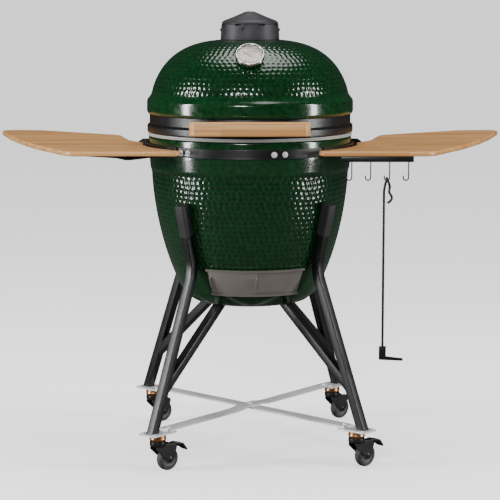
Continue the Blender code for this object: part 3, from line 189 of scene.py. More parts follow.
@dataclass
class Window:
    """A hole through a lathe's wall.

    Args:
        outer: first and last profile point of the hole on the outer face.
        inner: first and last profile point of the hole on the inner face.
        columns: first and last column of the hole.
        slot: number of the material inside the hole.
    """

    outer: tuple[int, int]
    inner: tuple[int, int]
    columns: tuple[int, int]
    slot: int = 0

    def sides(self, steps: int) -> list[np.ndarray]:
        """Faces that join the hole's two rims, point by point.

        Args:
            steps: corners in each ring of the lathe.

        Returns:
            Its top, its bottom and its two ends.
        """
        first, last = self.columns
        column = np.arange(first, last)
        high, low = (row * steps + column for row in self.outer)
        low_in, high_in = (row * steps + column for row in self.inner)
        out = np.arange(*self.outer)
        a, b = out * steps, (self.inner[1] - np.arange(len(out))) * steps
        return [
            np.stack([high, high_in, high_in + 1, high + 1], axis=1),
            np.stack([low, low + 1, low_in + 1, low_in], axis=1),
            np.stack([a + first, a + steps + first, b - steps + first, b + first], axis=1),
            np.stack([a + last, b + last, b - steps + last, a + steps + last], axis=1),
        ]


def lathe(profile: Points, steps: int = 128, turns: Line | None = None, whole: bool = True, split: int = 0,
          window: Window | None = None) -> Skin:
    """A profile of (radius, height) turned about Z: x = r cos a, y = r sin a.

    A hole in the wall leaves out the four-sided faces inside it on both sides of the wall, and
    joins the two rims point by point. A part turn is closed by the profile itself at both ends.

    Args:
        profile: a loop of points, inner side up and then outer side down, or such a line whose
            two ends lie on the axis.
        steps: corners round the axis, where turns isn't given.
        turns: azimuths of the corners, in order.
        whole: whether the turn is a full one.
        split: profile points before this one take material 0 and the rest take material 1.
        window: a hole through the wall.

    Returns:
        The closed skin.
    """
    p = np.asarray(profile, float)
    solid = whole and p[0, 0] < 1e-9 and p[-1, 0] < 1e-9
    ring = p[1:-1] if solid else p
    turn = np.arange(steps) * 2 * np.pi / steps if turns is None else np.asarray(turns, float)
    steps = len(turn)
    r, z = ring[:, :1], ring[:, 1:]
    points = np.stack([r * np.cos(turn), r * np.sin(turn), z + 0 * turn], axis=-1).reshape(-1, 3)
    quads = grid_faces(len(ring), steps, not solid, whole).reshape(-1, steps if whole else steps - 1, 4)
    keep = np.ones(quads.shape[:2], bool)
    faces, slots = [], []
    if window:
        for start, end in (window.outer, window.inner):
            keep[start:end, slice(*window.columns)] = False
        faces = window.sides(steps)
        slots = [window.slot] * len(faces)
    row = np.arange(len(quads))[:, None] + 0 * keep
    early = keep & (row < split)
    faces += [quads[early], quads[keep & ~early]]
    slots += [0, 1 if split else 0]
    if solid:
        last = len(points)
        points = np.concatenate([points, [[0, 0, p[0, 1]], [0, 0, p[-1, 1]]]])
        here = np.arange(steps)
        there = (here + 1) % steps
        low = (len(ring) - 1) * steps
        faces += [np.stack([np.full(steps, last), here, there], axis=1),
                  np.stack([np.full(steps, last + 1), low + there, low + here], axis=1)]
        slots += [0, 1 if split else 0]
    elif not whole:
        end = np.arange(len(ring)) * steps
        faces += [end[::-1][None], (end + steps - 1)[None]]
        slots += [0, 0]
    filled = [(loops, slot) for loops, slot in zip(faces, slots) if len(loops)]
    skin = Skin(points, [loops for loops, _ in filled], None, [slot for _, slot in filled])
    return skin.outward()


def plate(outline: Points, thickness: float, edge: float, count: int = 4) -> Skin:
    """A flat outline made solid with rounded edges.

    Rings of the outline, drawn in by edge (1 - cos a) at height edge sin a, run up its side; each
    point is drawn in along the mean of its two edges' normals, over the cosine of half the turn.

    Args:
        outline: closed loop of (x, y).
        thickness: height along Z, centred on 0.
        edge: radius of the rounded edges.
        count: rings per rounded edge.

    Returns:
        The closed skin.
    """
    p = np.asarray(outline, float)
    x, y = p[:, 0], p[:, 1]
    if np.sum(x * np.roll(y, -1) - np.roll(x, -1) * y) < 0:
        p = p[::-1]
    along = np.roll(p, -1, axis=0) - p
    along /= np.maximum(np.linalg.norm(along, axis=1, keepdims=True), 1e-12)
    normal = np.stack([along[:, 1], -along[:, 0]], axis=1)
    joint = normal + np.roll(normal, 1, axis=0)
    sharpest = 0.6
    joint /= np.maximum((joint**2).sum(axis=1, keepdims=True), sharpest) / 2
    a = np.linspace(0, np.pi / 2, count)
    inset, rise = edge * (1 - np.sin(a)), edge * (1 - np.cos(a))
    border = [edge * 1.5]
    drawn = np.concatenate([border, inset, inset[::-1], border])
    level = np.concatenate([[0.0], rise, thickness - rise[::-1], [thickness]]) - thickness / 2
    rings = p[None] - joint[None] * drawn[:, None, None]
    lift = np.broadcast_to(level[:, None, None], (len(level), len(p), 1))
    points = np.concatenate([rings, lift], axis=2).reshape(-1, 3)
    n = len(p)
    low, high = np.arange(n)[::-1][None], (len(level) - 1) * n + np.arange(n)[None]
    return Skin(points, [grid_faces(len(level), n, False, True), low, high]).outward()


def sweep(path: Points, section: Points, up: Line, swell: Line | None = None) -> Skin:
    """A section carried along a path and closed at both ends.

    At each point of the path the section's x runs along tangent x up, and its y across both.

    Args:
        path: points in space.
        section: closed loop of (x, y).
        up: a direction that is never along the path.
        swell: size of the section at each point, or None for 1.

    Returns:
        The closed skin.
    """
    p = np.asarray(path, float)
    tangent = np.gradient(p, axis=0)
    tangent /= np.linalg.norm(tangent, axis=1, keepdims=True)
    side = np.cross(tangent, np.asarray(up, float))
    side /= np.linalg.norm(side, axis=1, keepdims=True)
    over = np.cross(side, tangent)
    s = np.asarray(section, float)
    size = np.ones(len(p)) if swell is None else np.asarray(swell, float)
    points = p[:, None] + size[:, None, None] * (
        side[:, None] * s[None, :, :1] + over[:, None] * s[None, :, 1:]
    )
    n = len(s)
    cap = np.arange(n)[None]
    faces = [grid_faces(len(p), n, False, True), cap[:, ::-1], (len(p) - 1) * n + cap]
    return Skin(points.reshape(-1, 3), faces).outward()


def circle(radius: float, count: int = 12) -> np.ndarray:
    """Points of a circle."""
    a = np.arange(count) * 2 * np.pi / count
    return radius * np.stack([np.cos(a), np.sin(a)], axis=1)


def box_section(wide: float, deep: float, edge: float, count: int = 4) -> np.ndarray:
    """A rectangle with rounded corners."""
    w, d = wide / 2, deep / 2
    return rounded([(-w, -d), (w, -d), (w, d), (-w, d)], edge, count)


def bar(start: Line, end: Line, section: Points, up: Line) -> Skin:
    """A straight bar of one section."""
    return sweep(np.linspace(np.asarray(start, float), np.asarray(end, float), 3), section, up)


def block(size: Line, centre: Line, edge: float = 0.0006, turn: float = 0.0) -> Skin:
    """A box with rounded edges, turned about Z at its centre.

    Args:
        size: its length along X, Y and Z.
        centre: its middle.
        edge: radius of its edges.
        turn: its turn in radians.

    Returns:
        The closed skin.
    """
    outline = box_section(size[0], size[1], max(edge, 1e-4))
    skin = plate(outline, size[2], edge, 3)
    return skin.moved(Matrix.Translation(centre) @ Matrix.Rotation(turn, 4, "Z"))


def bolt(place: Line, direction: Line, radius: float, tall: float) -> Skin:
    """A hexagon head with a chamfered top and a washer under it.

    Args:
        place: point of the surface that it is screwed into.
        direction: way that its head points.
        radius: radius of its head.
        tall: height of its head, washer included.

    Returns:
        The two closed skins as one.
    """
    r, sunk = radius, -0.0004
    head = lathe(rounded([(0, tall), (r * 0.93, tall), (r, tall * 0.8), (r, tall * 0.2), (0, tall * 0.2)],
                         r * 0.08, 3, closed=False), 6)
    washer = lathe([(0, tall * 0.24), (r * 1.35, tall * 0.24), (r * 1.45, tall * 0.12),
                    (r * 1.45, sunk), (0, sunk)], 24)
    aim = Vector(direction).to_track_quat("Z", "Y").to_matrix().to_4x4()
    return joined([head, washer]).moved(Matrix.Translation(place) @ aim)


def joined(skins: list[Skin]) -> Skin:
    """Several skins as one piece, of one material.

    Args:
        skins: the skins, none of them with a relief.

    Returns:
        One skin that holds them all.
    """
    starts = np.cumsum([0] + [len(s.points) for s in skins[:-1]])
    faces = [loops + start for s, start in zip(skins, starts) for loops in s.outward().faces]
    return Skin(np.concatenate([s.points for s in skins]), faces)


def polar(radius: float, azimuth: float, z: float) -> Vector:
    """A point at a radius and azimuth about the bowl's axis."""
    return Vector((radius * math.cos(azimuth), radius * math.sin(azimuth), z))


def place_piece(name: str, skin: Skin, finishes: list[bpy.types.Material], body: str,
                nodes: Sequence[str] = (), sharp: float = 35.0) -> bpy.types.Object:
    """Make a piece from a skin drawn about the bowl's axis, and hang it on a CAD body.

    Args:
        name: the piece's name.
        skin: its skin.
        finishes: its materials, in the order of the skin's slots.
        body: the CAD body that it rides on.
        nodes: CAD nodes that it stands for.
        sharp: angle in degrees above which an edge is drawn sharp.

    Returns:
        The piece.
    """
    mesh = bpy.data.meshes.new(name)
    points = skin.points + np.array(AXIS)
    mesh.vertices.add(len(points))
    mesh.vertices.foreach_set("co", points.astype(np.float32).ravel())
    loops = np.concatenate([f.ravel() for f in skin.faces])
    sizes = np.concatenate([np.full(len(f), f.shape[1]) for f in skin.faces])
    mesh.loops.add(len(loops))
    mesh.loops.foreach_set("vertex_index", loops.astype(np.int32))
    mesh.polygons.add(len(sizes))
    mesh.polygons.foreach_set("loop_start", (np.cumsum(sizes) - sizes).astype(np.int32))
    for finish in finishes:
        mesh.materials.append(finish)
    if skin.slots:
        index = np.concatenate([np.full(len(f), s) for f, s in zip(skin.faces, skin.slots)])
        mesh.polygons.foreach_set("material_index", index.astype(np.int32))
    if skin.relief is not None:
        mesh.attributes.new("relief", "FLOAT", "POINT").data.foreach_set(
            "value", skin.relief.astype(np.float32))
    mesh.update(calc_edges=True)
    mesh.validate()
    mesh.shade_smooth()
    mesh.set_sharp_from_angle(angle=math.radians(sharp))
    piece = bpy.data.objects.new(name, mesh)
    bpy.context.scene.collection.objects.link(piece)
    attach(piece, body)
    if nodes:
        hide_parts(*nodes)
    LOG.info("%s: %d faces on %s", name, len(sizes), body)
    return piece


# ---- Finishes ------------------------------------------------------------------------
class Tree:
    """A node tree being filled in.

    Args:
        tree: the node tree.
    """

    def __init__(self, tree: bpy.types.NodeTree) -> None:
        """Start on a tree."""
        self.tree = tree

    def put(self, value: Socket | float | Line, socket: Socket) -> None:
        """Give a socket its value, or the link that brings it.

        Args:
            value: a fixed value, or the output of another node.
            socket: the input that takes it.
        """
        if isinstance(value, Socket):
            self.tree.links.new(value, socket)
        else:
            socket.default_value = value

    def add(self, kind: str, settings: dict | None = None, **inputs: Socket | float | Line) -> bpy.types.Node:
        """Add a node.

        Args:
            kind: its type, less the ShaderNode prefix.
            settings: its properties.
            inputs: values or sockets by input name, with _ for a space; in1 is the second input.

        Returns:
            The node.
        """
        node = self.tree.nodes.new("ShaderNode" + kind)
        for key, value in (settings or {}).items():
            setattr(node, key, value)
        for key, value in inputs.items():
            number = key[2:] if key.startswith("in") else ""
            self.put(value, node.inputs[int(number) if number.isdigit() else key.replace("_", " ")])
        return node

    def math(self, operation: str, a: Socket | float, b: Socket | float = 0.0, clamp: bool = False) -> Socket:
        """A sum, product or other operation on two values."""
        node = self.add("Math", {"operation": operation, "use_clamp": clamp}, in0=a, in1=b)
        return node.outputs[0]

    def ramp(self, value: Socket, low: float, high: float, start: float = 0.0, end: float = 1.0) -> Socket:
        """A value carried from one range to another, and held at its ends."""
        node = self.add("MapRange", None, Value=value, From_Min=low, From_Max=high, To_Min=start, To_Max=end)
        return node.outputs[0]

    def mix(self, share: Socket, a: Socket | Colour, b: Socket | Colour) -> Socket:
        """A colour between two.

        Args:
            share: how much of the second one it holds.
            a: the first colour.
            b: the second colour.

        Returns:
            The mixed colour.
        """
        node = self.add("Mix", {"data_type": "RGBA"}, in0=share)
        for value, socket in ((a, node.inputs[6]), (b, node.inputs[7])):
            self.put(value if isinstance(value, Socket) else (*value, 1), socket)
        return node.outputs[2]


class Effect(Enum):
    """Surface effects that several finishes share."""

    MOTTLE = "mottle"
    STREAKS = "streaks"
    GRAIN = "fine grain"
    DUST = "dust"


def start_group(name: str, sockets: list[tuple[str, str, float | None]]
                ) -> tuple[Tree, dict[str, Socket], dict[str, Socket]]:
    """An empty node group with its sockets.

    Args:
        name: its name.
        sockets: name, type and default of each input; a default of None makes an output.

    Returns:
        The tree, its input sockets and its output sockets, by name.
    """
    group = bpy.data.node_groups.new(name, "ShaderNodeTree")
    for label, kind, default in sockets:
        way = "OUTPUT" if default is None else "INPUT"
        socket = group.interface.new_socket(name=label, in_out=way, socket_type="NodeSocket" + kind)
        if isinstance(default, float) and kind == "Float":
            socket.default_value = default
    tree = Tree(group)
    given = group.nodes.new("NodeGroupInput")
    made = group.nodes.new("NodeGroupOutput")
    return tree, {s.name: s for s in given.outputs if s.name}, {s.name: s for s in made.inputs if s.name}


class Effects:
    """The shared node groups, each built once."""

    def __init__(self) -> None:
        """Build every group."""
        self.groups = {
            Effect.MOTTLE: self.mottle(),
            Effect.STREAKS: self.streaks(),
            Effect.GRAIN: self.grain(),
            Effect.DUST: self.dust(),
        }

    def mottle(self) -> bpy.types.NodeTree:
        """Soft blotches, as a value from 0 to 1.

        Returns:
            The group's tree.
        """
        tree, given, made = start_group("Mottle", [
            ("Size", "Float", 0.05), ("Contrast", "Float", 1.0), ("Value", "Float", None)])
        where = tree.add("TexCoord").outputs["Object"]
        scale = tree.math("DIVIDE", 1.0, given["Size"])
        noise = tree.add("TexNoise", None, Vector=where, Scale=scale, Detail=4.0, Roughness=0.55)
        spread = tree.math("MULTIPLY", tree.math("SUBTRACT", noise.outputs[0], 0.5), given["Contrast"])
        tree.put(tree.math("ADD", spread, 0.5, clamp=True), made["Value"])
        return tree.tree

    def streaks(self) -> bpy.types.NodeTree:
        """Long thin streaks, as a value from 0 to 1, and a bump normal of them.

        Returns:
            The group's tree.
        """
        tree, given, made = start_group("Streaks", [
            ("Stretch", "Vector", 0.0), ("Depth", "Float", 0.1), ("Value", "Float", None),
            ("Normal", "Vector", None)])
        where = tree.add("TexCoord").outputs["Object"]
        scaled = tree.add("VectorMath", {"operation": "MULTIPLY"}, in0=where, in1=given["Stretch"])
        noise = tree.add("TexNoise", None, Vector=scaled.outputs[0], Scale=1.0, Detail=5.0, Roughness=0.6)
        bump = tree.add("Bump", None, Strength=given["Depth"], Distance=0.0006, Height=noise.outputs[0])
        tree.put(noise.outputs[0], made["Value"])
        tree.put(bump.outputs[0], made["Normal"])
        return tree.tree

    def grain(self) -> bpy.types.NodeTree:
        """Fine pebbled grain, as a value from 0 to 1, and a bump normal of it.

        Returns:
            The group's tree.
        """
        tree, given, made = start_group("Grain", [
            ("Size", "Float", 0.001), ("Depth", "Float", 0.2), ("Value", "Float", None),
            ("Normal", "Vector", None)])
        where = tree.add("TexCoord").outputs["Object"]
        scale = tree.math("DIVIDE", 1.0, given["Size"])
        noise = tree.add("TexNoise", None, Vector=where, Scale=scale, Detail=2.0, Roughness=0.5)
        bump = tree.add("Bump", None, Strength=given["Depth"], Distance=0.0004, Height=noise.outputs[0])
        tree.put(noise.outputs[0], made["Value"])
        tree.put(bump.outputs[0], made["Normal"])
        return tree.tree

    def dust(self) -> bpy.types.NodeTree:
        """Dust near the floor and on upward faces, as a mask from 0 to 1.

        Returns:
            The group's tree.
        """
        tree, given, made = start_group("Dust", [
            ("Height", "Float", 0.3), ("Amount", "Float", 0.2), ("Mask", "Float", None)])
        where = tree.add("TexCoord").outputs["Object"]
        z = tree.add("SeparateXYZ", None, Vector=where).outputs[2]
        up = tree.add("SeparateXYZ", None, Vector=tree.add("NewGeometry").outputs["Normal"]).outputs[2]
        low = tree.math("SUBTRACT", 1.0, tree.math("DIVIDE", z, given["Height"]), clamp=True)
        noise = tree.add("TexNoise", None, Vector=where, Scale=60.0, Detail=4.0)
        lying = tree.math("MAXIMUM", low, tree.ramp(up, 0.5, 1.0, 0.0, 0.5))
        share = tree.math("MULTIPLY", lying, tree.ramp(noise.outputs[0], 0.35, 0.7))
        tree.put(tree.math("MULTIPLY", share, given["Amount"], clamp=True), made["Mask"])
        return tree.tree

    def use(self, tree: Tree, effect: Effect, **inputs: float | Line) -> bpy.types.Node:
        """Put an effect in a material.

        Args:
            tree: the material's tree.
            effect: which effect.
            inputs: its values in this material.

        Returns:
            The group's node.
        """
        node = tree.tree.nodes.new("ShaderNodeGroup")
        node.node_tree = self.groups[effect]
        for key, value in inputs.items():
            node.inputs[key].default_value = value
        return node


def new_finish(name: str, **fixed: float | Line) -> tuple[bpy.types.Material, Tree, bpy.types.Node]:
    """A material whose shader has its fixed values.

    Args:
        name: the material's name.
        fixed: values that are the same all over the surface, by input name, with _ for a space.

    Returns:
        The material, its tree and its shader.
    """
    made = bpy.data.materials.new(name)
    made.use_nodes = True
    shader = made.node_tree.nodes["Principled BSDF"]
    for key, value in fixed.items():
        shader.inputs[key.replace("_", " ")].default_value = value
    return made, Tree(made.node_tree), shader


@dataclass(frozen=True)
class Finish:
    """A surface: two colours that a mottle mixes, and how it shines.

    Args:
        name: the material's name.
        dark: linear colour where the mottle is low.
        light: linear colour where the mottle is high.
        rough: roughness at both ends of the mottle.
        metal: metallic share.
        blotch: size of the mottle in metres.
        contrast: strength of the mottle.
        grain: size of the fine grain in metres.
        depth: strength of the fine grain's bump.
        dust: greatest share of dust.
        dust_tint: linear colour of the dust.
        dust_rough: what dust adds to the roughness.
    """

    name: str
    dark: Colour
    light: Colour
    rough: tuple[float, float] = (0.4, 0.5)
    metal: float = 0.0
    blotch: float = 0.05
    contrast: float = 1.6
    grain: float = 0.001
    depth: float = 0.15
    dust: float = 0.0
    dust_tint: Colour = (0.30, 0.27, 0.24)
    dust_rough: float = 0.4

    def build(self, effects: Effects) -> bpy.types.Material:
        """Make the material.

        Args:
            effects: the shared groups.

        Returns:
            The material.
        """
        made, tree, shader = new_finish(self.name, Metallic=self.metal)
        mottle = effects.use(tree, Effect.MOTTLE, Size=self.blotch, Contrast=self.contrast).outputs["Value"]
        colour = tree.mix(mottle, self.dark, self.light)
        rough = tree.ramp(mottle, 0.0, 1.0, *self.rough)
        if self.dust:
            mask = effects.use(tree, Effect.DUST, Amount=self.dust).outputs["Mask"]
            colour = tree.mix(mask, colour, self.dust_tint)
            rough = tree.math("ADD", rough, tree.math("MULTIPLY", mask, self.dust_rough), clamp=True)
        grain = effects.use(tree, Effect.GRAIN, Size=self.grain, Depth=self.depth)
        tree.put(colour, shader.inputs["Base Color"])
        tree.put(rough, shader.inputs["Roughness"])
        tree.put(grain.outputs["Normal"], shader.inputs["Normal"])
        return made


@dataclass(frozen=True)
class Glaze:
    """Glossy glaze, with painted shade darkening the bottoms of the dimples.

    Args:
        name: the material's name.
        deep: linear colour where the mottle is low.
        thin: linear colour where the mottle is high.
        dimple_shade: linear colour of the painted shade at a dimple's bottom.
        dimple_shade_share: share of that painted shade at a dimple's bottom.
        blotch: size of the mottle in metres.
        contrast: strength of the mottle.
        ripple: size of the glaze's unevenness in metres.
        depth: strength of the unevenness.
        rough: roughness at both ends of the mottle.
        coat: weight of the clear coat.
        coat_rough: roughness of the clear coat.
    """

    name: str = "Green_glaze"
    deep: Colour = (0.0012, 0.0175, 0.0042)
    thin: Colour = (0.0032, 0.043, 0.0105)
    # Painted shade: the colour that the dimples' bottoms are darkened towards, and how far.
    dimple_shade: Colour = (0.0006, 0.0080, 0.0020)
    dimple_shade_share: float = 0.75
    blotch: float = 0.012
    contrast: float = 2.2
    ripple: float = 0.0035
    depth: float = 0.22
    rough: tuple[float, float] = (0.12, 0.22)
    coat: float = 0.35
    coat_rough: float = 0.06

    def build(self, effects: Effects) -> bpy.types.Material:
        """Make the material.

        Args:
            effects: the shared groups.

        Returns:
            The material.
        """
        made, tree, shader = new_finish(self.name, Coat_Weight=self.coat, Coat_Roughness=self.coat_rough)
        pit = tree.add("Attribute", {"attribute_name": "relief"}).outputs["Fac"]
        mottle = effects.use(tree, Effect.MOTTLE, Size=self.blotch, Contrast=self.contrast).outputs["Value"]
        base = tree.mix(mottle, self.deep, self.thin)
        # Painted shade: darkens the glaze towards that colour by each corner's depth in its dimple.
        colour = tree.mix(tree.ramp(pit, 0.0, 1.0, 0.0, self.dimple_shade_share), base, self.dimple_shade)
        ripple = effects.use(tree, Effect.GRAIN, Size=self.ripple, Depth=self.depth)
        tree.put(colour, shader.inputs["Base Color"])
        tree.put(tree.ramp(mottle, 0.0, 1.0, *self.rough), shader.inputs["Roughness"])
        tree.put(ripple.outputs["Normal"], shader.inputs["Normal"])
        return made


@dataclass(frozen=True)
class Bamboo:
    """Oiled bamboo: glued strips, each of its own shade, with fine fibres along X.

    Args:
        name: the material's name.
        strip: width of a strip along Y, in metres.
        layer: thickness of a strip along Z.
        length: length of a strip along X.
        stagger: how far the next strip is set along, as a share of the length.
        fibres: fibres per metre along each axis.
        brown: linear colour of the darkest strip.
        pale: linear colour of the lightest strip.
        fibre: linear colour of the fibres.
        seam: linear colour of the glue lines.
        seam_half: half a strip less its glue line, as a share of its width.
        coat: weight of the oil.
    """

    name: str = "Bamboo"
    strip: float = 0.019
    layer: float = 0.006
    length: float = 0.31
    stagger: float = 0.37
    fibres: tuple[float, float, float] = (3.0, 260.0, 260.0)
    brown: Colour = (0.50, 0.235, 0.070)
    pale: Colour = (0.70, 0.385, 0.145)
    fibre: Colour = (0.33, 0.145, 0.045)
    seam: Colour = (0.20, 0.085, 0.028)
    seam_half: float = 0.484
    coat: float = 0.12

    def build(self, effects: Effects) -> bpy.types.Material:
        """Make the material.

        Args:
            effects: the shared groups.

        Returns:
            The material.
        """
        made, tree, shader = new_finish(self.name, Coat_Weight=self.coat)
        fibres = effects.use(tree, Effect.STREAKS, Stretch=self.fibres, Depth=0.25)
        value = fibres.outputs["Value"]
        part = tree.add("SeparateXYZ", None, Vector=tree.add("TexCoord").outputs["Object"])
        across = tree.math("MULTIPLY", part.outputs[1], 1 / self.strip)
        row = tree.math("FLOOR", across)
        layer = tree.math("FLOOR", tree.math("MULTIPLY", part.outputs[2], 1 / self.layer))
        along = tree.math("MULTIPLY", part.outputs[0], 1 / self.length)
        run = tree.math("FLOOR", tree.math("ADD", along, tree.math("MULTIPLY", row, self.stagger)))
        cell = tree.add("CombineXYZ", None, X=run, Y=row, Z=layer)
        shade = tree.add("TexWhiteNoise", {"noise_dimensions": "3D"}, Vector=cell.outputs[0]).outputs["Value"]
        base = tree.mix(shade, self.brown, self.pale)
        colour = tree.mix(tree.ramp(value, 0.45, 0.75, 0.0, 0.55), base, self.fibre)
        off = tree.math("ABSOLUTE", tree.math("SUBTRACT", tree.math("FRACT", across), 0.5))
        wood = tree.math("LESS_THAN", off, self.seam_half)
        colour = tree.mix(tree.ramp(wood, 0.0, 1.0, 0.45, 0.0), colour, self.seam)
        tree.put(colour, shader.inputs["Base Color"])
        tree.put(tree.ramp(value, 0.3, 0.7, 0.34, 0.5), shader.inputs["Roughness"])
        tree.put(fibres.outputs["Normal"], shader.inputs["Normal"])
        return made


@dataclass(frozen=True)
class Brushed:
    """Brushed metal whose polish runs one way.

    Args:
        name: the material's name.
        tint: linear colour.
        rough: roughness, which the streaks vary from 0.07 under it to 0.10 over it.
        stretch: streaks per metre along each axis.
        metal: metallic share.
        dull: colour of the dull streaks, as a share of the tint.
    """

    name: str
    tint: Colour
    rough: float
    stretch: tuple[float, float, float]
    metal: float = 1.0
    dull: float = 0.72

    def build(self, effects: Effects) -> bpy.types.Material:
        """Make the material.

        Args:
            effects: the shared groups.

        Returns:
            The material.
        """
        made, tree, shader = new_finish(self.name, Metallic=self.metal)
        streak = effects.use(tree, Effect.STREAKS, Stretch=self.stretch, Depth=0.12)
        mottle = effects.use(tree, Effect.MOTTLE, Size=0.06, Contrast=1.5).outputs["Value"]
        value = streak.outputs["Value"]
        dull = tuple(c * self.dull for c in self.tint)
        tree.put(tree.mix(tree.math("MULTIPLY", value, mottle), self.tint, dull), shader.inputs["Base Color"])
        rough = tree.ramp(value, 0.25, 0.75, self.rough - 0.07, self.rough + 0.10)
        tree.put(rough, shader.inputs["Roughness"])
        tree.put(streak.outputs["Normal"], shader.inputs["Normal"])
        return made


class Palette:
    """Every material of the grill."""

    def __init__(self) -> None:
        """Make each material once."""
        effects = Effects()
        self.glaze = Glaze().build(effects)
        self.bamboo = Bamboo().build(effects)
        self.glass = new_finish("Dial_glass", Base_Color=(1, 1, 1, 1), Roughness=0.02, Metallic=0.0, IOR=1.45,
                                Transmission_Weight=1.0)[0]
        self.steel = Brushed("Brushed_steel", (0.40, 0.36, 0.33), 0.36, (30.0, 30.0, 900.0),
                             0.72).build(effects)
        self.screen = Brushed("Screen_steel", (0.45, 0.44, 0.43), 0.42, (400.0, 400.0, 60.0)).build(effects)
        self.zinc = Brushed("Zinc_plate", (0.82, 0.82, 0.81), 0.42, (40.0, 40.0, 500.0), 0.35).build(effects)
        self.chrome = Brushed("Chrome", (0.83, 0.82, 0.81), 0.12, (300.0, 300.0, 300.0)).build(effects)
        self.dial = Brushed("Dial_face", (0.52, 0.44, 0.42), 0.46, (500.0, 40.0, 40.0), 0.8).build(effects)
        self.bronze = Brushed("Bronze_race", (0.62, 0.31, 0.15), 0.34, (60.0, 60.0, 400.0)).build(effects)
        self.clay = Finish("Fired_clay", (0.40, 0.29, 0.20), (0.58, 0.45, 0.33), (0.8, 0.95), blotch=0.02,
                           grain=0.002, depth=0.4).build(effects)
        self.powder = Finish("Black_powder_coat", (0.0035, 0.0037, 0.0042), (0.0065, 0.0068, 0.0075),
                             (0.30, 0.42), grain=0.0012, depth=0.25, dust=0.03).build(effects)
        self.iron = Finish("Cast_iron", (0.020, 0.018, 0.021), (0.046, 0.041, 0.046), (0.42, 0.60),
                           metal=0.25, blotch=0.018, grain=0.0016, depth=0.55).build(effects)
        self.felt = Finish("Felt", (0.30, 0.30, 0.29), (0.52, 0.52, 0.50), (0.92, 1.0), blotch=0.004,
                           grain=0.0012, depth=0.8).build(effects)
        self.rubber = Finish("Rubber_cap", (0.010, 0.010, 0.010), (0.020, 0.020, 0.020), (0.55, 0.7),
                             grain=0.0015, depth=0.2).build(effects)
        self.tyre = Finish("Tyre", (0.012, 0.012, 0.012), (0.026, 0.025, 0.024), (0.6, 0.8), blotch=0.01,
                           grain=0.001, depth=0.3, dust=0.25).build(effects)
        self.hub = Finish("Wheel_hub", (0.07, 0.07, 0.07), (0.12, 0.12, 0.12), (0.4, 0.55)).build(effects)
        self.mark = Finish("Dial_print", (0.012, 0.012, 0.012), (0.016, 0.016, 0.016),
                           (0.5, 0.6)).build(effects)
        self.red = Finish("Needle_paint", (0.40, 0.012, 0.010), (0.50, 0.020, 0.014),
                          (0.3, 0.4)).build(effects)


# ---- The grill -----------------------------------------------------------------------
JOINTS = {joint["name"]: joint for joint in frame["joints"]}


def joint_place(name: str) -> Vector:
    """A joint's place about the bowl's axis."""
    return Vector(JOINTS[name]["pos_m"]) - AXIS


def low_of(node: str) -> Vector:
    """Lowest corner of a CAD node's box, about the bowl's axis."""
    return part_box(node)[0] - AXIS


def high_of(node: str) -> Vector:
    """Highest corner of a CAD node's box, about the bowl's axis."""
    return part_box(node)[1] - AXIS


@dataclass(frozen=True)
class Dimples:
    """Rows of shallow round dimples in a lathe's outer face.

    Args:
        across: spacing round the axis in metres.
        rows: spacing along the profile in metres.
        depth: depth of a dimple in metres.
    """

    across: float
    rows: float
    depth: float

    def pits(self, arc: np.ndarray, radius: np.ndarray, turn: np.ndarray, start: float,
             end: float) -> np.ndarray:
        """How deep each corner lies in its nearest dimple, from 0 to 1.

        Row k has round(2 pi r / across) centres, every second row half a step round, each moved a
        little by sines of its number. A corner at distance d of the nearest centre lies
        cos^2(pi d / 2R) deep, or 0 beyond R. Rows stop at the start and end of the arc.

        Args:
            arc: distance of each profile point along the profile.
            radius: radius of each profile point.
            turn: azimuths of the columns.
            start: arc at which the dimples start.
            end: arc at which they end.

        Returns:
            One row of depths for each profile point.
        """
        reach = 0.53 * min(self.across, self.rows * 1.1)
        deepest = np.zeros((len(arc), len(turn)))
        base = np.floor((arc - start) / self.rows)
        for step in (-1, 0, 1, 2):
            k = base + step
            centre = start + k * self.rows
            shown = (centre >= start) & (centre <= end)
            r = np.interp(centre, arc, radius)
            count = np.round(2 * np.pi * r / self.across)
            offset = 0.5 * (k % 2) + 0.07 * np.sin(9.1 * k)
            place = turn[None] * (count / (2 * np.pi))[:, None] - offset[:, None]
            number = np.round(place)
            jog = 0.05 * np.sin(number * 12.9 + k[:, None] * 7.7)
            around = (place - number - jog) * (2 * np.pi * radius / count)[:, None]
            along = (arc - centre)[:, None] + 0.0007 * np.sin(number * 7.3 + k[:, None] * 3.1)
            d = np.minimum(np.hypot(around, along) / reach, 1)
            deepest = np.maximum(deepest, np.cos(d * np.pi / 2) ** 2 * shown[:, None])
        return deepest


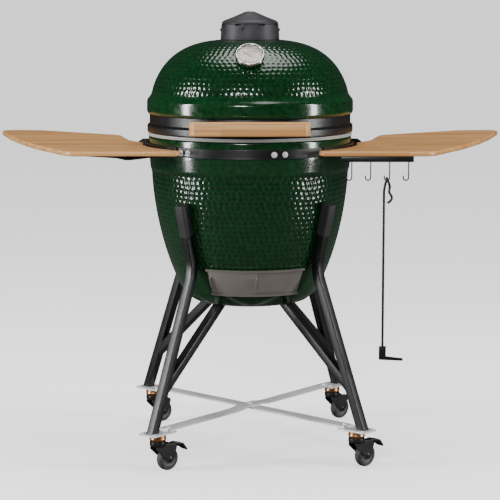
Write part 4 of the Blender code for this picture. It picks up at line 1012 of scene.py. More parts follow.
@dataclass
class Shells:
    """The two glazed ceramic shells.

    Args:
        bowl_columns: corners round the bowl.
        lid_columns: corners round the lid.
        bowl_step: distance between corners along the bowl's outer profile.
        lid_step: distance between corners along the lid's.
        bowl_dimples: dimples of the bowl.
        lid_dimples: dimples of the lid.
        window_turns: azimuths in degrees, from the door's axis, between which the bowl is open.
        window_heights: lowest and highest level of that opening.
        door_half: angle in degrees between the door frame's middle and its end.
        bowl_wall: thickness of the bowl.
        lid_wall: thickness of the lid.
        belly: greatest radius of the bowl, at belly_top.
        belly_top: height above which the bowl flares out to its rim.
        belly_deep: depth of its curve below that.
        floor: height of the bowl's floor inside.
        base: height of its underside.
        mouth: inner radius of both rims.
        lip: outer radius of the bowl's rim.
        bowl_rim: height of the bowl's rim.
        lid_rim: height of the lid's rim.
        dome: outer radius of the dome at dome_foot.
        dome_foot: height at which the dome's curve starts.
        dome_tall: height of the curve.
        hole: radius of the hole in the dome.
        seat: radius of the flat ring that the chimney stands on.
    """

    bowl_columns: int = 600
    lid_columns: int = 660
    bowl_step: float = 0.0028
    lid_step: float = 0.0027
    bowl_dimples: Dimples = Dimples(0.0150, 0.0128, 0.0015)
    lid_dimples: Dimples = Dimples(0.0140, 0.0120, 0.0013)
    window_turns: tuple[float, float] = (-30.0, -2.5)
    window_heights: tuple[float, float] = (0.448, 0.491)
    door_half: float = 34.5
    bowl_wall: float = 0.026
    lid_wall: float = 0.024
    belly: float = 0.2576
    belly_top: float = 0.748
    belly_deep: float = 0.448
    floor: float = 0.422
    base: float = 0.396
    mouth: float = 0.2348
    lip: float = 0.2648
    bowl_rim: float = 0.8333
    lid_rim: float = 0.8418
    dome: float = 0.2604
    dome_foot: float = 0.910
    dome_tall: float = 0.1716
    hole: float = 0.055
    seat: float = 0.0767

    def bowl_radius(self, z: Line | float) -> np.ndarray:
        """Outer radius at a height: belly (1 - depth^1.66)^(1/2.32), the depth as a share of the curve's."""
        depth = np.maximum(0, (self.belly_top - np.asarray(z, float)) / self.belly_deep)
        return self.belly * (1 - depth**1.66) ** (1 / 2.32)

    def dome_radius(self, z: Line | float, wall: float = 0.0) -> np.ndarray:
        """Radius of the dome at a height: (dome - wall)(1 - height^1.87)^(1/3.3)."""
        height = np.clip((np.asarray(z, float) - self.dome_foot) / (self.dome_tall - wall), 0, 1)
        return (self.dome - wall) * (1 - height**1.87) ** (1 / 3.3)

    def dome_height(self, radius: Line | float, wall: float = 0.0) -> np.ndarray:
        """Height of the dome at a radius, the other way round."""
        share = (np.asarray(radius, float) / (self.dome - wall)) ** 3.3
        return self.dome_foot + (self.dome_tall - wall) * (1 - share) ** (1 / 1.87)

    @staticmethod
    def even(line: np.ndarray, step: float) -> np.ndarray:
        """Points spaced evenly along a line.

        Args:
            line: points in a plane.
            step: distance between two of them, near enough.

        Returns:
            The new points.
        """
        arc = np.concatenate([[0], np.cumsum(np.linalg.norm(np.diff(line, axis=0), axis=1))])
        at = np.linspace(0, arc[-1], max(2, int(round(arc[-1] / step)) + 1))
        return np.stack([np.interp(at, arc, line[:, 0]), np.interp(at, arc, line[:, 1])], axis=1)

    def dent(self, skin: Skin, part: np.ndarray, turns: np.ndarray, ring: int, dimples: Dimples) -> Skin:
        """Press dimples into some rings of a lathe.

        Args:
            skin: the lathe.
            part: the dimpled points of its profile.
            turns: its azimuths.
            ring: number of the first dimpled ring.
            dimples: the dimples.

        Returns:
            The same skin, with how deep each corner lies as its relief.
        """
        slope = np.gradient(part, axis=0)
        slope /= np.linalg.norm(slope, axis=1, keepdims=True)
        arc = np.concatenate([[0], np.cumsum(np.linalg.norm(np.diff(part, axis=0), axis=1))])
        margin = dimples.rows * 0.6
        pit = dimples.pits(arc, part[:, 0], turns, margin, arc[-1] - margin)
        depth = -dimples.depth * pit
        out, up = -slope[:, 1:], slope[:, :1]
        move = np.stack([depth * out * np.cos(turns), depth * out * np.sin(turns), depth * up], axis=-1)
        dented = slice(ring * len(turns), (ring + len(part)) * len(turns))
        skin.points[dented] += move.reshape(-1, 3)
        skin.relief = np.zeros(len(skin.points))
        skin.relief[dented] = pit.ravel()
        return skin

    def bowl_inside(self, rows: int) -> np.ndarray:
        """Inner side of the bowl's profile, from its floor up.

        Args:
            rows: points along the window's height, which follow the first two.

        Returns:
            Points of (radius, height).
        """
        sloped_to, floor_radius, low_step = 0.467, 0.100, 0.436
        heights = np.concatenate([
            [self.floor, low_step], np.linspace(*self.window_heights, rows), np.linspace(0.51, 0.735, 12)
        ])
        upright = self.bowl_radius(heights) - self.bowl_wall
        slope_end = self.bowl_radius(sloped_to) - self.bowl_wall
        sloped = np.interp(heights, [self.floor, sloped_to], [floor_radius, slope_end])
        return np.stack([np.where(heights < sloped_to, sloped, upright), heights], axis=1)

    def bowl(self, palette: Palette) -> None:
        """The bowl, with the draft window through its wall."""
        low, high = self.window_heights
        edges = [self.door_axis() + math.radians(a) for a in self.window_turns]
        count = int(self.bowl_columns * (edges[1] - edges[0]) / (2 * math.pi))
        turns = np.concatenate([
            np.linspace(edges[0], edges[1], count, endpoint=False),
            np.linspace(edges[1], edges[0] + 2 * math.pi, self.bowl_columns - count, endpoint=False),
        ])
        rows = 9
        inner = self.bowl_inside(rows)
        rim = rounded([(self.mouth, 0.7883), (self.mouth, self.bowl_rim), (self.lip, self.bowl_rim),
                       (self.lip, 0.791), (0.2614, 0.755)], 0.006, 5, closed=False)
        z = np.linspace(0.750, high, 600)
        flare = 0.0034 * np.clip((z - 0.735) / 0.015, 0, 1) ** 2
        above = self.even(np.stack([self.bowl_radius(z) + flare, z], axis=1), self.bowl_step)
        z = np.concatenate([np.linspace(high, low, rows)[1:], np.linspace(low, self.floor + 0.002, 5)[1:]])
        below = np.stack([self.bowl_radius(z), z], axis=1)
        base = rounded([below[-1], (0.151, 0.402), (0.125, self.base), (0.06, self.base)], 0.006, 5,
                       closed=False)
        profile = np.concatenate([[(0, self.floor)], inner, rim, above, below, base[1:], [(0, self.base)]])
        ring = len(inner) + len(rim)
        outer = ring + len(above) - 1
        window = Window(outer=(outer, outer + rows - 1), inner=(2, rows + 1), columns=(0, count))
        skin = lathe(profile, turns=turns, split=len(inner) + 7, window=window)
        skin = self.dent(skin, above, turns, ring, self.bowl_dimples)
        place_piece("bowl_shell", skin, [palette.clay, palette.glaze], "stand", ["bowl"], 50)

    def door_axis(self) -> float:
        """Azimuth of the draft door's middle, from the two ends of its frame.

        An arc of radius R about azimuth a, half an angle h long, has its ends at R cos(a - h) and
        R cos(a + h) along X, and their sum and difference give a.

        Returns:
            The azimuth in radians.
        """
        low, high = low_of("door_frame").x, high_of("door_frame").x
        half = math.radians(self.door_half)
        return math.atan2(-(high - low) * math.cos(half), (high + low) * math.sin(half))

    def lid(self, palette: Palette) -> None:
        """The dome, with its smooth collar and the hole under the chimney."""
        turns = np.arange(self.lid_columns) * 2 * np.pi / self.lid_columns
        throat = self.mouth + 0.0004
        top = float(self.dome_height(self.hole, self.lid_wall))
        z = np.linspace(0.955, top - 0.012, 8)
        level = float(self.dome_height(self.seat))
        inner = [(throat, self.lid_rim), (throat, self.dome_foot),
                 *zip(self.dome_radius(z, self.lid_wall), z), (self.hole, top), (self.hole, level),
                 (self.seat - 0.0002, level)]
        shoulder = 0.236
        r = np.linspace(self.seat, shoulder, 400)
        z = np.linspace(float(self.dome_height(shoulder)), 0.943, 200)[1:]
        curve = np.concatenate([
            np.stack([r, self.dome_height(r)], axis=1), np.stack([self.dome_radius(z), z], axis=1)
        ])
        smooth = 60
        flat = self.even(curve[:smooth], 0.004)
        above = self.even(curve[smooth:], self.lid_step)
        collar = rounded([above[-1], (0.2602, 0.936), (0.2690, 0.926), (0.2693, 0.8955), (0.2650, 0.8893),
                          (0.2592, 0.8893), (0.2592, self.lid_rim), (throat, self.lid_rim)], 0.005, 6,
                         closed=False)
        profile = np.concatenate([np.array(inner), flat, above[1:], collar[1:-1]])
        skin = lathe(profile, turns=turns, split=len(inner) - 2)
        skin = self.dent(skin, above[1:], turns, len(inner) + len(flat), self.lid_dimples)
        place_piece("lid_shell", skin, [palette.clay, palette.glaze], "lid", ["lid_dome"], 50)

    def seals(self, palette: Palette) -> None:
        """The two felt rings between the shells."""
        wide = 0.026
        for node, body in (("bowl_gasket", "stand"), ("lid_gasket", "lid")):
            low, high = low_of(node), high_of(node)
            inner = high.x - wide
            ring = rounded([(inner, low.z), (inner, high.z), (high.x, high.z), (high.x, low.z)], 0.0014, 4)
            place_piece(node + "_felt", lathe(ring, 240), [palette.felt], body, [node])


@dataclass
class Bands:
    """Steel bands round the rims, with the bolts that clamp them, and the lid's hinge.

    Args:
        bolt_radius: radius of a bolt's head.
        bolt_turns: azimuths in degrees of the bowl band's bolts, from the front.
    """

    bolt_radius: float = 0.0052
    bolt_turns: tuple[float, ...] = (-40.5, -35.5, 13.0, 19.0, 90.0, 110.0, -110.0, 160.0, -160.0)

    def build(self, palette: Palette) -> None:
        """Both bands, the bowl band's bolts and the hinge."""
        radius = high_of("bowl_band").x
        low, high = low_of("bowl_band").z, high_of("bowl_band").z
        ring = rounded([(radius - 0.003, low), (radius - 0.003, high), (radius - 0.0008, high),
                        (radius, high - 0.001), (radius, low + 0.0022), (radius + 0.0012, low)], 0.0008, 4)
        skin = lathe(ring, 256)
        place_piece("bowl_band_ring", skin, [palette.powder], "stand", ["bowl_band"])
        bolts = []
        for turn in self.bolt_turns:
            azimuth = math.radians(turn - 90)
            place = polar(radius + 0.0004, azimuth, (low + high) / 2 - 0.001)
            bolts.append(bolt(place, polar(1, azimuth, 0), self.bolt_radius, 0.0042))
        place_piece("bowl_band_bolts", joined(bolts), [palette.zinc], "stand", ())

        low, high = low_of("lid_band").z, high_of("lid_band").z
        lower = high_of("lid_band").x
        upper = lower - 0.006
        ring = rounded([(lower - 0.009, low), (lower - 0.009, high), (upper, high), (upper, 0.866),
                        (lower, 0.860), (lower, low)], 0.0011, 4)
        place_piece("lid_band_ring", lathe(ring, 256), [palette.powder], "lid", ["lid_band"])
        self.hinge(palette)

    def hinge(self, palette: Palette) -> None:
        """The hinge pin, with a head at one end, and a coil spring on each side of it."""
        low, high = low_of("hinge_pin").x, high_of("hinge_pin").x
        axis = joint_place("lid_hinge")
        long, radius = high - low, 0.004
        head = rounded([(0, 0), (0.0066, 0), (0.0068, 0.0036), (radius, 0.004), (radius, long), (0, long)],
                       0.0007, 4, closed=False)
        aim = Matrix.Rotation(math.pi / 2, 4, "Y")
        skin = lathe(head, 32).moved(Matrix.Translation((low, axis.y, axis.z)) @ aim)
        place_piece("hinge_pin_round", skin, [palette.zinc], "stand", ["hinge_pin"])

        wire = 0.0015
        for side, node in ((-1, "hinge_spring_left"), (1, "hinge_spring_right")):
            low, high = low_of(node), high_of(node)
            coil = high.z - axis.z - wire
            ends = (high.x - wire, low.x + wire) if side > 0 else (low.x + wire, high.x - wire)
            a = np.linspace(0, 8 * np.pi, 129)
            x = np.linspace(ends[0], ends[1], 129)
            path = np.stack([x, axis.y + coil * np.cos(a), axis.z + coil * np.sin(a)], axis=1)
            foot_y, foot_z = axis.y + coil, axis.z - 0.020
            legs = [[(x[0], foot_y, foot_z)], path, [(x[-1], foot_y, foot_z)]]
            skin = sweep(np.concatenate(legs), circle(wire, 10), (1, 0, 0.001))
            place_piece(node + "_coil", skin, [palette.steel], "stand", [node], 60)


@dataclass
class Handle:
    """The lid's bamboo handle.

    Args:
        chamfer: width of the pale chamfer along its edges.
        crown: how far its front swells at the middle.
        cut: how far its two front corners are cut back.
    """

    chamfer: float = 0.004
    crown: float = 0.004
    cut: float = 0.012

    def build(self, palette: Palette) -> None:
        """The bar, with rounded corners and chamfered edges."""
        low, high = low_of("handle_bar"), high_of("handle_bar")
        half = (high.x - low.x) / 2
        x = np.linspace(-half + self.cut, half - self.cut, 25)
        front = low.y + self.crown * (x / half) ** 2
        outline = [(-half, high.y), (half, high.y), (half, low.y + self.crown + self.cut)]
        outline += list(zip(x[::-1], front[::-1])) + [(-half, low.y + self.crown + self.cut)]
        skin = plate(rounded(outline, 0.0022, 4), high.z - low.z, self.chamfer, 5)
        skin = skin.shifted(0, 0, (low.z + high.z) / 2)
        place_piece("handle_bar_wood", skin, [palette.bamboo], "lid", ["handle_bar"])


@dataclass
class Dial:
    """The thermometer.

    Args:
        radius: radius of the bezel.
        face: height of the printed face above the dome.
        low: height of the case's back above the dome.
        deep: depth of the case.
        ticks: number of marks round the face.
    """

    radius: float = 0.0365
    face: float = 0.0135
    low: float = 0.0065
    deep: float = 0.013
    ticks: int = 36

    def place(self) -> Matrix:
        """From the dial's own axes to the lid: Z is the probe's axis, outwards.

        Returns:
            The matrix, whose origin lies on the dome.
        """
        axis = -Vector(JOINTS["needle_turn"]["axis"])
        hub = joint_place("needle_turn")
        out = axis if axis.z > 0 else -axis
        foot = hub - out * (self.face + 0.0008)
        return Matrix.Translation(foot) @ out.to_track_quat("Z", "Y").to_matrix().to_4x4()

    def build(self, palette: Palette) -> None:
        """Case, face, marks, needle and glass."""
        place = self.place()
        rim, top = self.radius - 0.004, self.low + self.deep
        case = [(0, self.face), (rim, self.face), (rim, top), (self.radius - 0.0015, top + 0.0006),
                (self.radius, top - 0.003), (self.radius, self.low + 0.002), (self.radius - 0.003, self.low),
                (0.012, self.low), (0.012, self.low - 0.004), (0.004, self.low - 0.004),
                (0.004, self.low - 0.070), (0, self.low - 0.074)]
        skin = lathe(rounded(case, 0.0012, 5, closed=False), 96).moved(place)
        place_piece("thermometer_bezel", skin, [palette.chrome], "lid", ["thermometer_case"])
        radius = rim - 0.0003
        print_low, print_high = self.face + 0.0001, self.face + 0.0005
        disc = lathe([(0, print_high), (radius, print_high), (radius, print_low), (0, print_low)], 64)
        disc = disc.moved(place)
        place_piece("thermometer_face", disc, [palette.dial], "lid", ())
        marks = []
        for k in range(self.ticks + 1):
            turn = math.radians(-60 - 300 * k / self.ticks)
            long, wide = (0.0052, 0.0011) if k % 6 == 0 else (0.0028, 0.0006)
            reach = rim - 0.0035 - long / 2
            centre = (reach * math.cos(turn), reach * math.sin(turn), self.face + 0.00065)
            marks.append(block((long, wide, 0.0003), centre, 0.0001, turn))
        top = self.face + 0.0008
        band = lathe([(0.0125, top), (0.0132, top), (0.0132, print_high), (0.0125, print_high)], 64)
        place_piece("thermometer_marks", joined(marks + [band]).moved(place), [palette.mark], "lid")
        low = self.face + 0.0012
        tip = rim - 0.008
        outline = rounded([(-0.0012, -0.008), (0.0012, -0.008), (0.0005, tip), (-0.0005, tip)], 0.0004, 3)
        hub = [(0, low + 0.0017), (0.003, low + 0.0012), (0.003, low - 0.0004), (0, low - 0.0004)]
        hub = lathe(rounded(hub, 0.0005, 4, closed=False), 32)
        hand = plate(outline, 0.0009, 0.0002, 3).shifted(0, 0, low + 0.0003)
        skin = joined([hand, hub]).moved(Matrix.Rotation(math.radians(60), 4, "Z")).moved(place)
        place_piece("thermometer_hand", skin, [palette.red], "needle", ["thermometer_needle"])
        low = self.face + 0.0036
        pane = [(0, low + 0.0018), (radius, low + 0.0013), (radius, low), (0, low)]
        skin = lathe(rounded(pane, 0.0004, 4, closed=False), 64).moved(place)
        place_piece("thermometer_pane", skin, [palette.glass], "lid", ["thermometer_glass"])


@dataclass
class Chimney:
    """The cast-iron vent on top of the lid, and the cap that turns on it.

    Args:
        slots: number of air slots round its top.
        slot_wide: width of a slot.
        slot_tall: height of a slot.
        throat: radius of the pipe that goes into the lid.
        lever_turn: azimuth of the cap's lever in degrees.
    """

    slots: int = 8
    slot_wide: float = 0.020
    slot_tall: float = 0.004
    throat: float = 0.052
    lever_turn: float = -104.0

    def build(self, palette: Palette) -> None:
        """Base with its slots and pegs, and cap with its lever."""
        low, top = low_of("vent_base").z + 0.022, joint_place("vent_turn").z
        wide, rim, floor = 0.0767, 0.0745, top - self.slot_tall
        inside = rim - 0.005
        half = self.slot_wide / 2 / rim
        step = 2 * np.pi / self.slots
        middles = (np.arange(self.slots) + 0.5) * step
        edges = np.concatenate([middles + side for side in (-half - 0.002, -half, half, half + 0.002)])
        turns = np.sort(np.concatenate([edges, np.linspace(0, 2 * np.pi, 192, endpoint=False)]) % (2 * np.pi))
        turns = turns[np.concatenate([[True], np.diff(turns) > 1e-5])]
        ring = rounded([(self.throat - 0.004, low - 0.022), (self.throat - 0.004, low + 0.005),
                        (inside, low + 0.005), (inside, floor), (inside, top), (rim, top), (rim, floor),
                        (rim + 0.0004, top - 0.010), (wide - 0.0006, low + 0.012), (wide, low),
                        (self.throat, low), (self.throat, low - 0.022)], 0.0009, 4)
        skin = lathe(ring, turns=turns)
        azimuth = np.arctan2(skin.points[:, 1], skin.points[:, 0]) % step
        open_here = np.abs(azimuth - step / 2) < half + 1e-6
        skin.points[:, 2] = np.where(open_here, np.minimum(skin.points[:, 2], floor), skin.points[:, 2])
        peg_z = low + (top - low) * 0.62
        pegs = [bolt((side * (rim + 0.0006), 0, peg_z), (side, 0, 0), 0.0035, 0.003) for side in (-1, 1)]
        skin = joined([skin] + pegs)
        place_piece("vent_base_cast", skin, [palette.iron], "lid", ["vent_base"], 50)

        roof, apex, edge = top + 0.0003, high_of("vent_cap").z, rim - 0.001
        sleeve = inside - 0.0008
        bore, hem = sleeve - 0.003, top - 0.018
        cap = [(0, roof + 0.012), (bore, roof), (bore, hem), (sleeve, hem), (sleeve, roof),
               (edge, roof), (edge, roof + 0.004), (edge - 0.006, roof + 0.009),
               (0.048, apex - 0.0165), (0.026, apex - 0.0072), (0.012, apex - 0.001), (0, apex)]
        skin = lathe(rounded(cap, 0.004, 6, closed=False), 160)
        rise = lathe(rounded([(0, apex - 0.0010), (0.0090, apex - 0.0012), (0.0105, apex - 0.0030),
                              (0, apex - 0.0030)], 0.0008, 4, closed=False), 48)
        azimuth = math.radians(self.lever_turn)
        arm = block((0.012, 0.007, 0.005), polar(edge + 0.0015, azimuth, roof + 0.0025), 0.001, azimuth)
        lever = block((0.004, 0.0069, 0.0179), polar(rim + 0.004, azimuth, roof - 0.004), 0.0012, azimuth)
        skin = joined([skin, rise, arm, lever])
        place_piece("vent_cap_cast", skin, [palette.iron], "vent_cap", ["vent_cap"], 50)


@dataclass
class Door:
    """The draft door: a fixed frame, and a sliding door in front of a mesh screen.

    Args:
        half: half the frame's length, in degrees.
        window: azimuths in degrees, from its middle, between which the frame is open.
        sheet: thickness of the steel.
        stand_off: gap between the frame and the bowl.
        low: bottom of the frame.
        high: top of the frame.
        gap: gap between two of the three layers.
        screen: thickness of the screen.
        lip: height of the folded lips.
        border: height of the frame above and below its opening.
        fit: gap between the door and the lips.
    """

    half: float = 34.5
    window: tuple[float, float] = (-30.0, -2.5)
    sheet: float = 0.0015
    stand_off: float = 0.004
    low: float = 0.434
    high: float = 0.505
    gap: float = 0.0008
    screen: float = 0.001
    lip: float = 0.006
    border: float = 0.014
    fit: float = 0.0025

    def section(self, corners: Points, shells: Shells) -> list[tuple[float, float]]:
        """Corners carried onto the bowl's slope.

        Args:
            corners: points of (distance off the frame's back, height).
            shells: the shells, whose bowl gives the slope.

        Returns:
            Points of (radius, height).
        """
        middle = (self.low + self.high) / 2
        slope = float(shells.bowl_radius(self.high) - shells.bowl_radius(self.low)) / (self.high - self.low)
        start = float(shells.bowl_radius(middle)) + self.stand_off
        return [(start + (z - middle) * slope + off, z) for off, z in corners]

    def build(self, palette: Palette, shells: Shells) -> None:
        """Frame and door; the screen behind the door keeps its CAD shape."""
        axis = shells.door_axis()
        self.frame(axis, palette, shells)
        self.leaf(axis, palette, shells)

    def frame(self, axis: float, palette: Palette, shells: Shells) -> None:
        """The frame: a sheet with two folded lips and an opening.

        Args:
            axis: azimuth of its middle.
            palette: the materials.
            shells: the shells.
        """
        low, high, sheet = self.low, self.high, self.sheet
        face = 2 * sheet + self.screen + 3 * self.gap
        front, fold = face + sheet, 0.0018
        hole_low, hole_high = low + self.border, high - self.border
        lip_low, lip_high = low + self.lip, high - self.lip
        corners = [(0, low), (0, hole_low), (0, hole_high), (0, high), (front, high), (front, lip_high),
                   (face, lip_high), (face, high - fold), (sheet, high - fold), (sheet, hole_high),
                   (sheet, hole_low), (sheet, low + fold), (face, low + fold), (face, lip_low),
                   (front, lip_low), (front, low)]
        cuts = [axis + math.radians(a) for a in (-self.half, *self.window, self.half)]
        turns = np.concatenate([np.linspace(cuts[0], cuts[1], 6)[:-1], np.linspace(cuts[1], cuts[2], 30)[:-1],
                                np.linspace(cuts[2], cuts[3], 40)])
        window = Window(outer=(9, 10), inner=(1, 2), columns=(5, 34))
        skin = lathe(self.section(corners, shells), turns=turns, whole=False, window=window)
        place_piece("door_frame_sheet", skin, [palette.steel], "stand", ["door_frame"], 30)

    def leaf(self, axis: float, palette: Palette, shells: Shells) -> None:
        """The sliding door with a tab at each end.

        Args:
            axis: azimuth of the frame's middle.
            palette: the materials.
            shells: the shells.
        """
        low, high = self.low + self.fit, self.high - self.fit
        back = self.sheet + self.screen + 2 * self.gap
        front = back + self.sheet
        start, end = axis - math.radians(self.half - 1.5), axis + math.radians(1.0)
        leaf = rounded([(back, low), (back, high), (front, high), (front, low)], 0.0004, 3)
        skins = [lathe(self.section(leaf, shells), turns=np.linspace(start, end, 48), whole=False)]
        root, tip = back + 0.0008, back + 0.0088
        low, high = self.low + 0.020, self.high - 0.020
        tab = rounded([(root, low), (root, high), (tip, high - 0.002), (tip, low + 0.002)], 0.0012, 4)
        for azimuth in (start + math.radians(0.8), end - math.radians(0.8)):
            turns = np.linspace(azimuth - 0.006, azimuth + 0.006, 5)
            skins.append(lathe(self.section(tab, shells), turns=turns, whole=False))
        skin = joined(skins)
        place_piece("draft_door_leaf", skin, [palette.steel], "draft_door", ["draft_door"], 30)


@dataclass
class Stand:
    """Four legs of square tube with their braces and caps, and the crossed bars under the bowl.

    Args:
        tube: width of the tube.
        corner: radius of the tube's corners.
        post_top: height of the posts' tops.
        elbow: height of the bend between post and leg.
        foot_reach: distance of the feet from the axis.
        foot: height of the feet.
        brace: lower and upper height of the braces.
        brace_reach: distance of the braces' tops from the axis.
        brace_past: how far the braces run on past that.
        cap: length of the rubber caps.
        clearance: gap between the bowl and the posts.
        strap: width and thickness of the crossed bars.
    """

    tube: float = 0.023
    corner: float = 0.0030
    post_top: float = 0.668
    elbow: float = 0.500
    foot_reach: float = 0.385
    foot: float = 0.1028
    brace: tuple[float, float] = (0.205, 0.386)
    brace_reach: float = 0.138
    brace_past: float = 0.034
    cap: float = 0.080
    clearance: float = 0.0075
    strap: tuple[float, float] = (0.038, 0.004)

    def post_reach(self, z: float, shells: Shells) -> float:
        """Distance of a post's middle from the axis.

        Args:
            z: height.
            shells: the shells that the posts stand round.

        Returns:
            The distance in metres.
        """
        top = float(shells.bowl_radius(self.post_top)) + self.clearance + self.tube / 2
        elbow = float(shells.bowl_radius(self.elbow)) + self.clearance + self.tube / 2
        return elbow + (top - elbow) * (z - self.elbow) / (self.post_top - self.elbow)

    def leg_reach(self, z: float, shells: Shells) -> float:
        """Distance of a leg's middle from the axis."""
        elbow = self.post_reach(self.elbow, shells)
        return self.foot_reach + (elbow - self.foot_reach) * (z - self.foot) / (self.elbow - self.foot)

    def build(self, palette: Palette, shells: Shells) -> None:
        """Every leg and both bars."""
        for name in CORNERS:
            place = joint_place("swivel_" + name)
            self.leg(name, math.atan2(place.y, place.x), palette, shells)
        for node in ("cross_bar_a", "cross_bar_b"):
            self.bar(node, palette)

    def leg(self, name: str, azimuth: float, palette: Palette, shells: Shells) -> None:
        """A leg with its post, brace and cap.

        Args:
            name: its corner.
            azimuth: direction of that corner.
            palette: the materials.
            shells: the shells that it stands round.
        """
        side = Vector((-math.sin(azimuth), math.cos(azimuth), 0))
        square = box_section(self.tube, self.tube, self.corner, 4)
        top = polar(self.post_reach(self.post_top, shells), azimuth, self.post_top)
        elbow = polar(self.post_reach(self.elbow, shells), azimuth, self.elbow)
        below = self.foot - 0.012
        foot = polar(self.leg_reach(below, shells), azimuth, below)
        path = rounded([tuple(foot), tuple(elbow), tuple(top)], 0.030, 9, closed=False)
        tube = sweep(path, square, np.array(side))
        tangent = path[1] - path[0]
        ring = tube.points[:len(square)]
        tube.points[:len(square)] = ring + tangent * ((self.foot - ring[:, 2]) / tangent[2])[:, None]
        start = polar(self.leg_reach(self.brace[0], shells), azimuth, self.brace[0])
        end = polar(self.brace_reach, azimuth, self.brace[1])
        end = end + (end - start).normalized() * self.brace_past
        thin = box_section(self.tube * 0.985, self.tube * 0.985, self.corner, 4)
        skin = joined([tube, bar(start, end, thin, np.array(side))])
        place_piece("leg_tube_" + name, skin, [palette.powder], "stand", ["leg_" + name])
        up = (top - elbow).normalized()
        sleeve = box_section(self.tube + 0.005, self.tube + 0.005, self.corner + 0.002, 6)
        low, high = top - up * self.cap, top + up * 0.003
        stations = np.array([0.0, 0.0012, 0.5, 0.955, 0.985, 1.0])
        line = np.array(low)[None] + stations[:, None] * np.array(high - low)[None]
        swell = np.array([0.965, 1.0, 1.0, 1.0, 0.955, 0.86])
        skin = sweep(line, sleeve, np.array(side), swell=swell)
        place_piece("leg_cap_sleeve_" + name, skin, [palette.rubber], "stand", ["leg_cap_" + name])

    def bar(self, node: str, palette: Palette) -> None:
        """A flat bar from corner to corner, with its bolts; the upper one steps over the lower.

        Args:
            node: its CAD node, cross_bar_a below or cross_bar_b above.
            palette: the materials.
        """
        corner = joint_place("swivel_front_right" if node.endswith("a") else "swivel_front_left")
        azimuth = math.atan2(corner.y, corner.x)
        wide, thick = self.strap
        raised = 0.0 if node.endswith("a") else thick + 0.0003
        reach, top = self.foot_reach - 0.045, self.foot + thick
        step_out, step_in, end = 0.062, 0.030, reach - 0.014
        line = [(-reach, 0, 0), (-step_out, 0, 0), (-step_in, 0, raised), (step_in, 0, raised),
                (step_out, 0, 0), (reach, 0, 0)]
        path = rounded(line, 0.008, 6, closed=False) + np.array([0, 0, top - thick / 2])
        strap = sweep(path, box_section(wide, thick, 0.0012, 4), (0, 0, 1))
        places = [(-end, top), (end, top)] + ([(0, top + raised)] if raised else [])
        bolts = [bolt((x, 0, z), (0, 0, 1), 0.0055, 0.0038) for x, z in places]
        skin = joined([strap] + bolts).moved(Matrix.Rotation(azimuth, 4, "Z"))
        place_piece(node + "_strap", skin, [palette.zinc], "stand", [node])


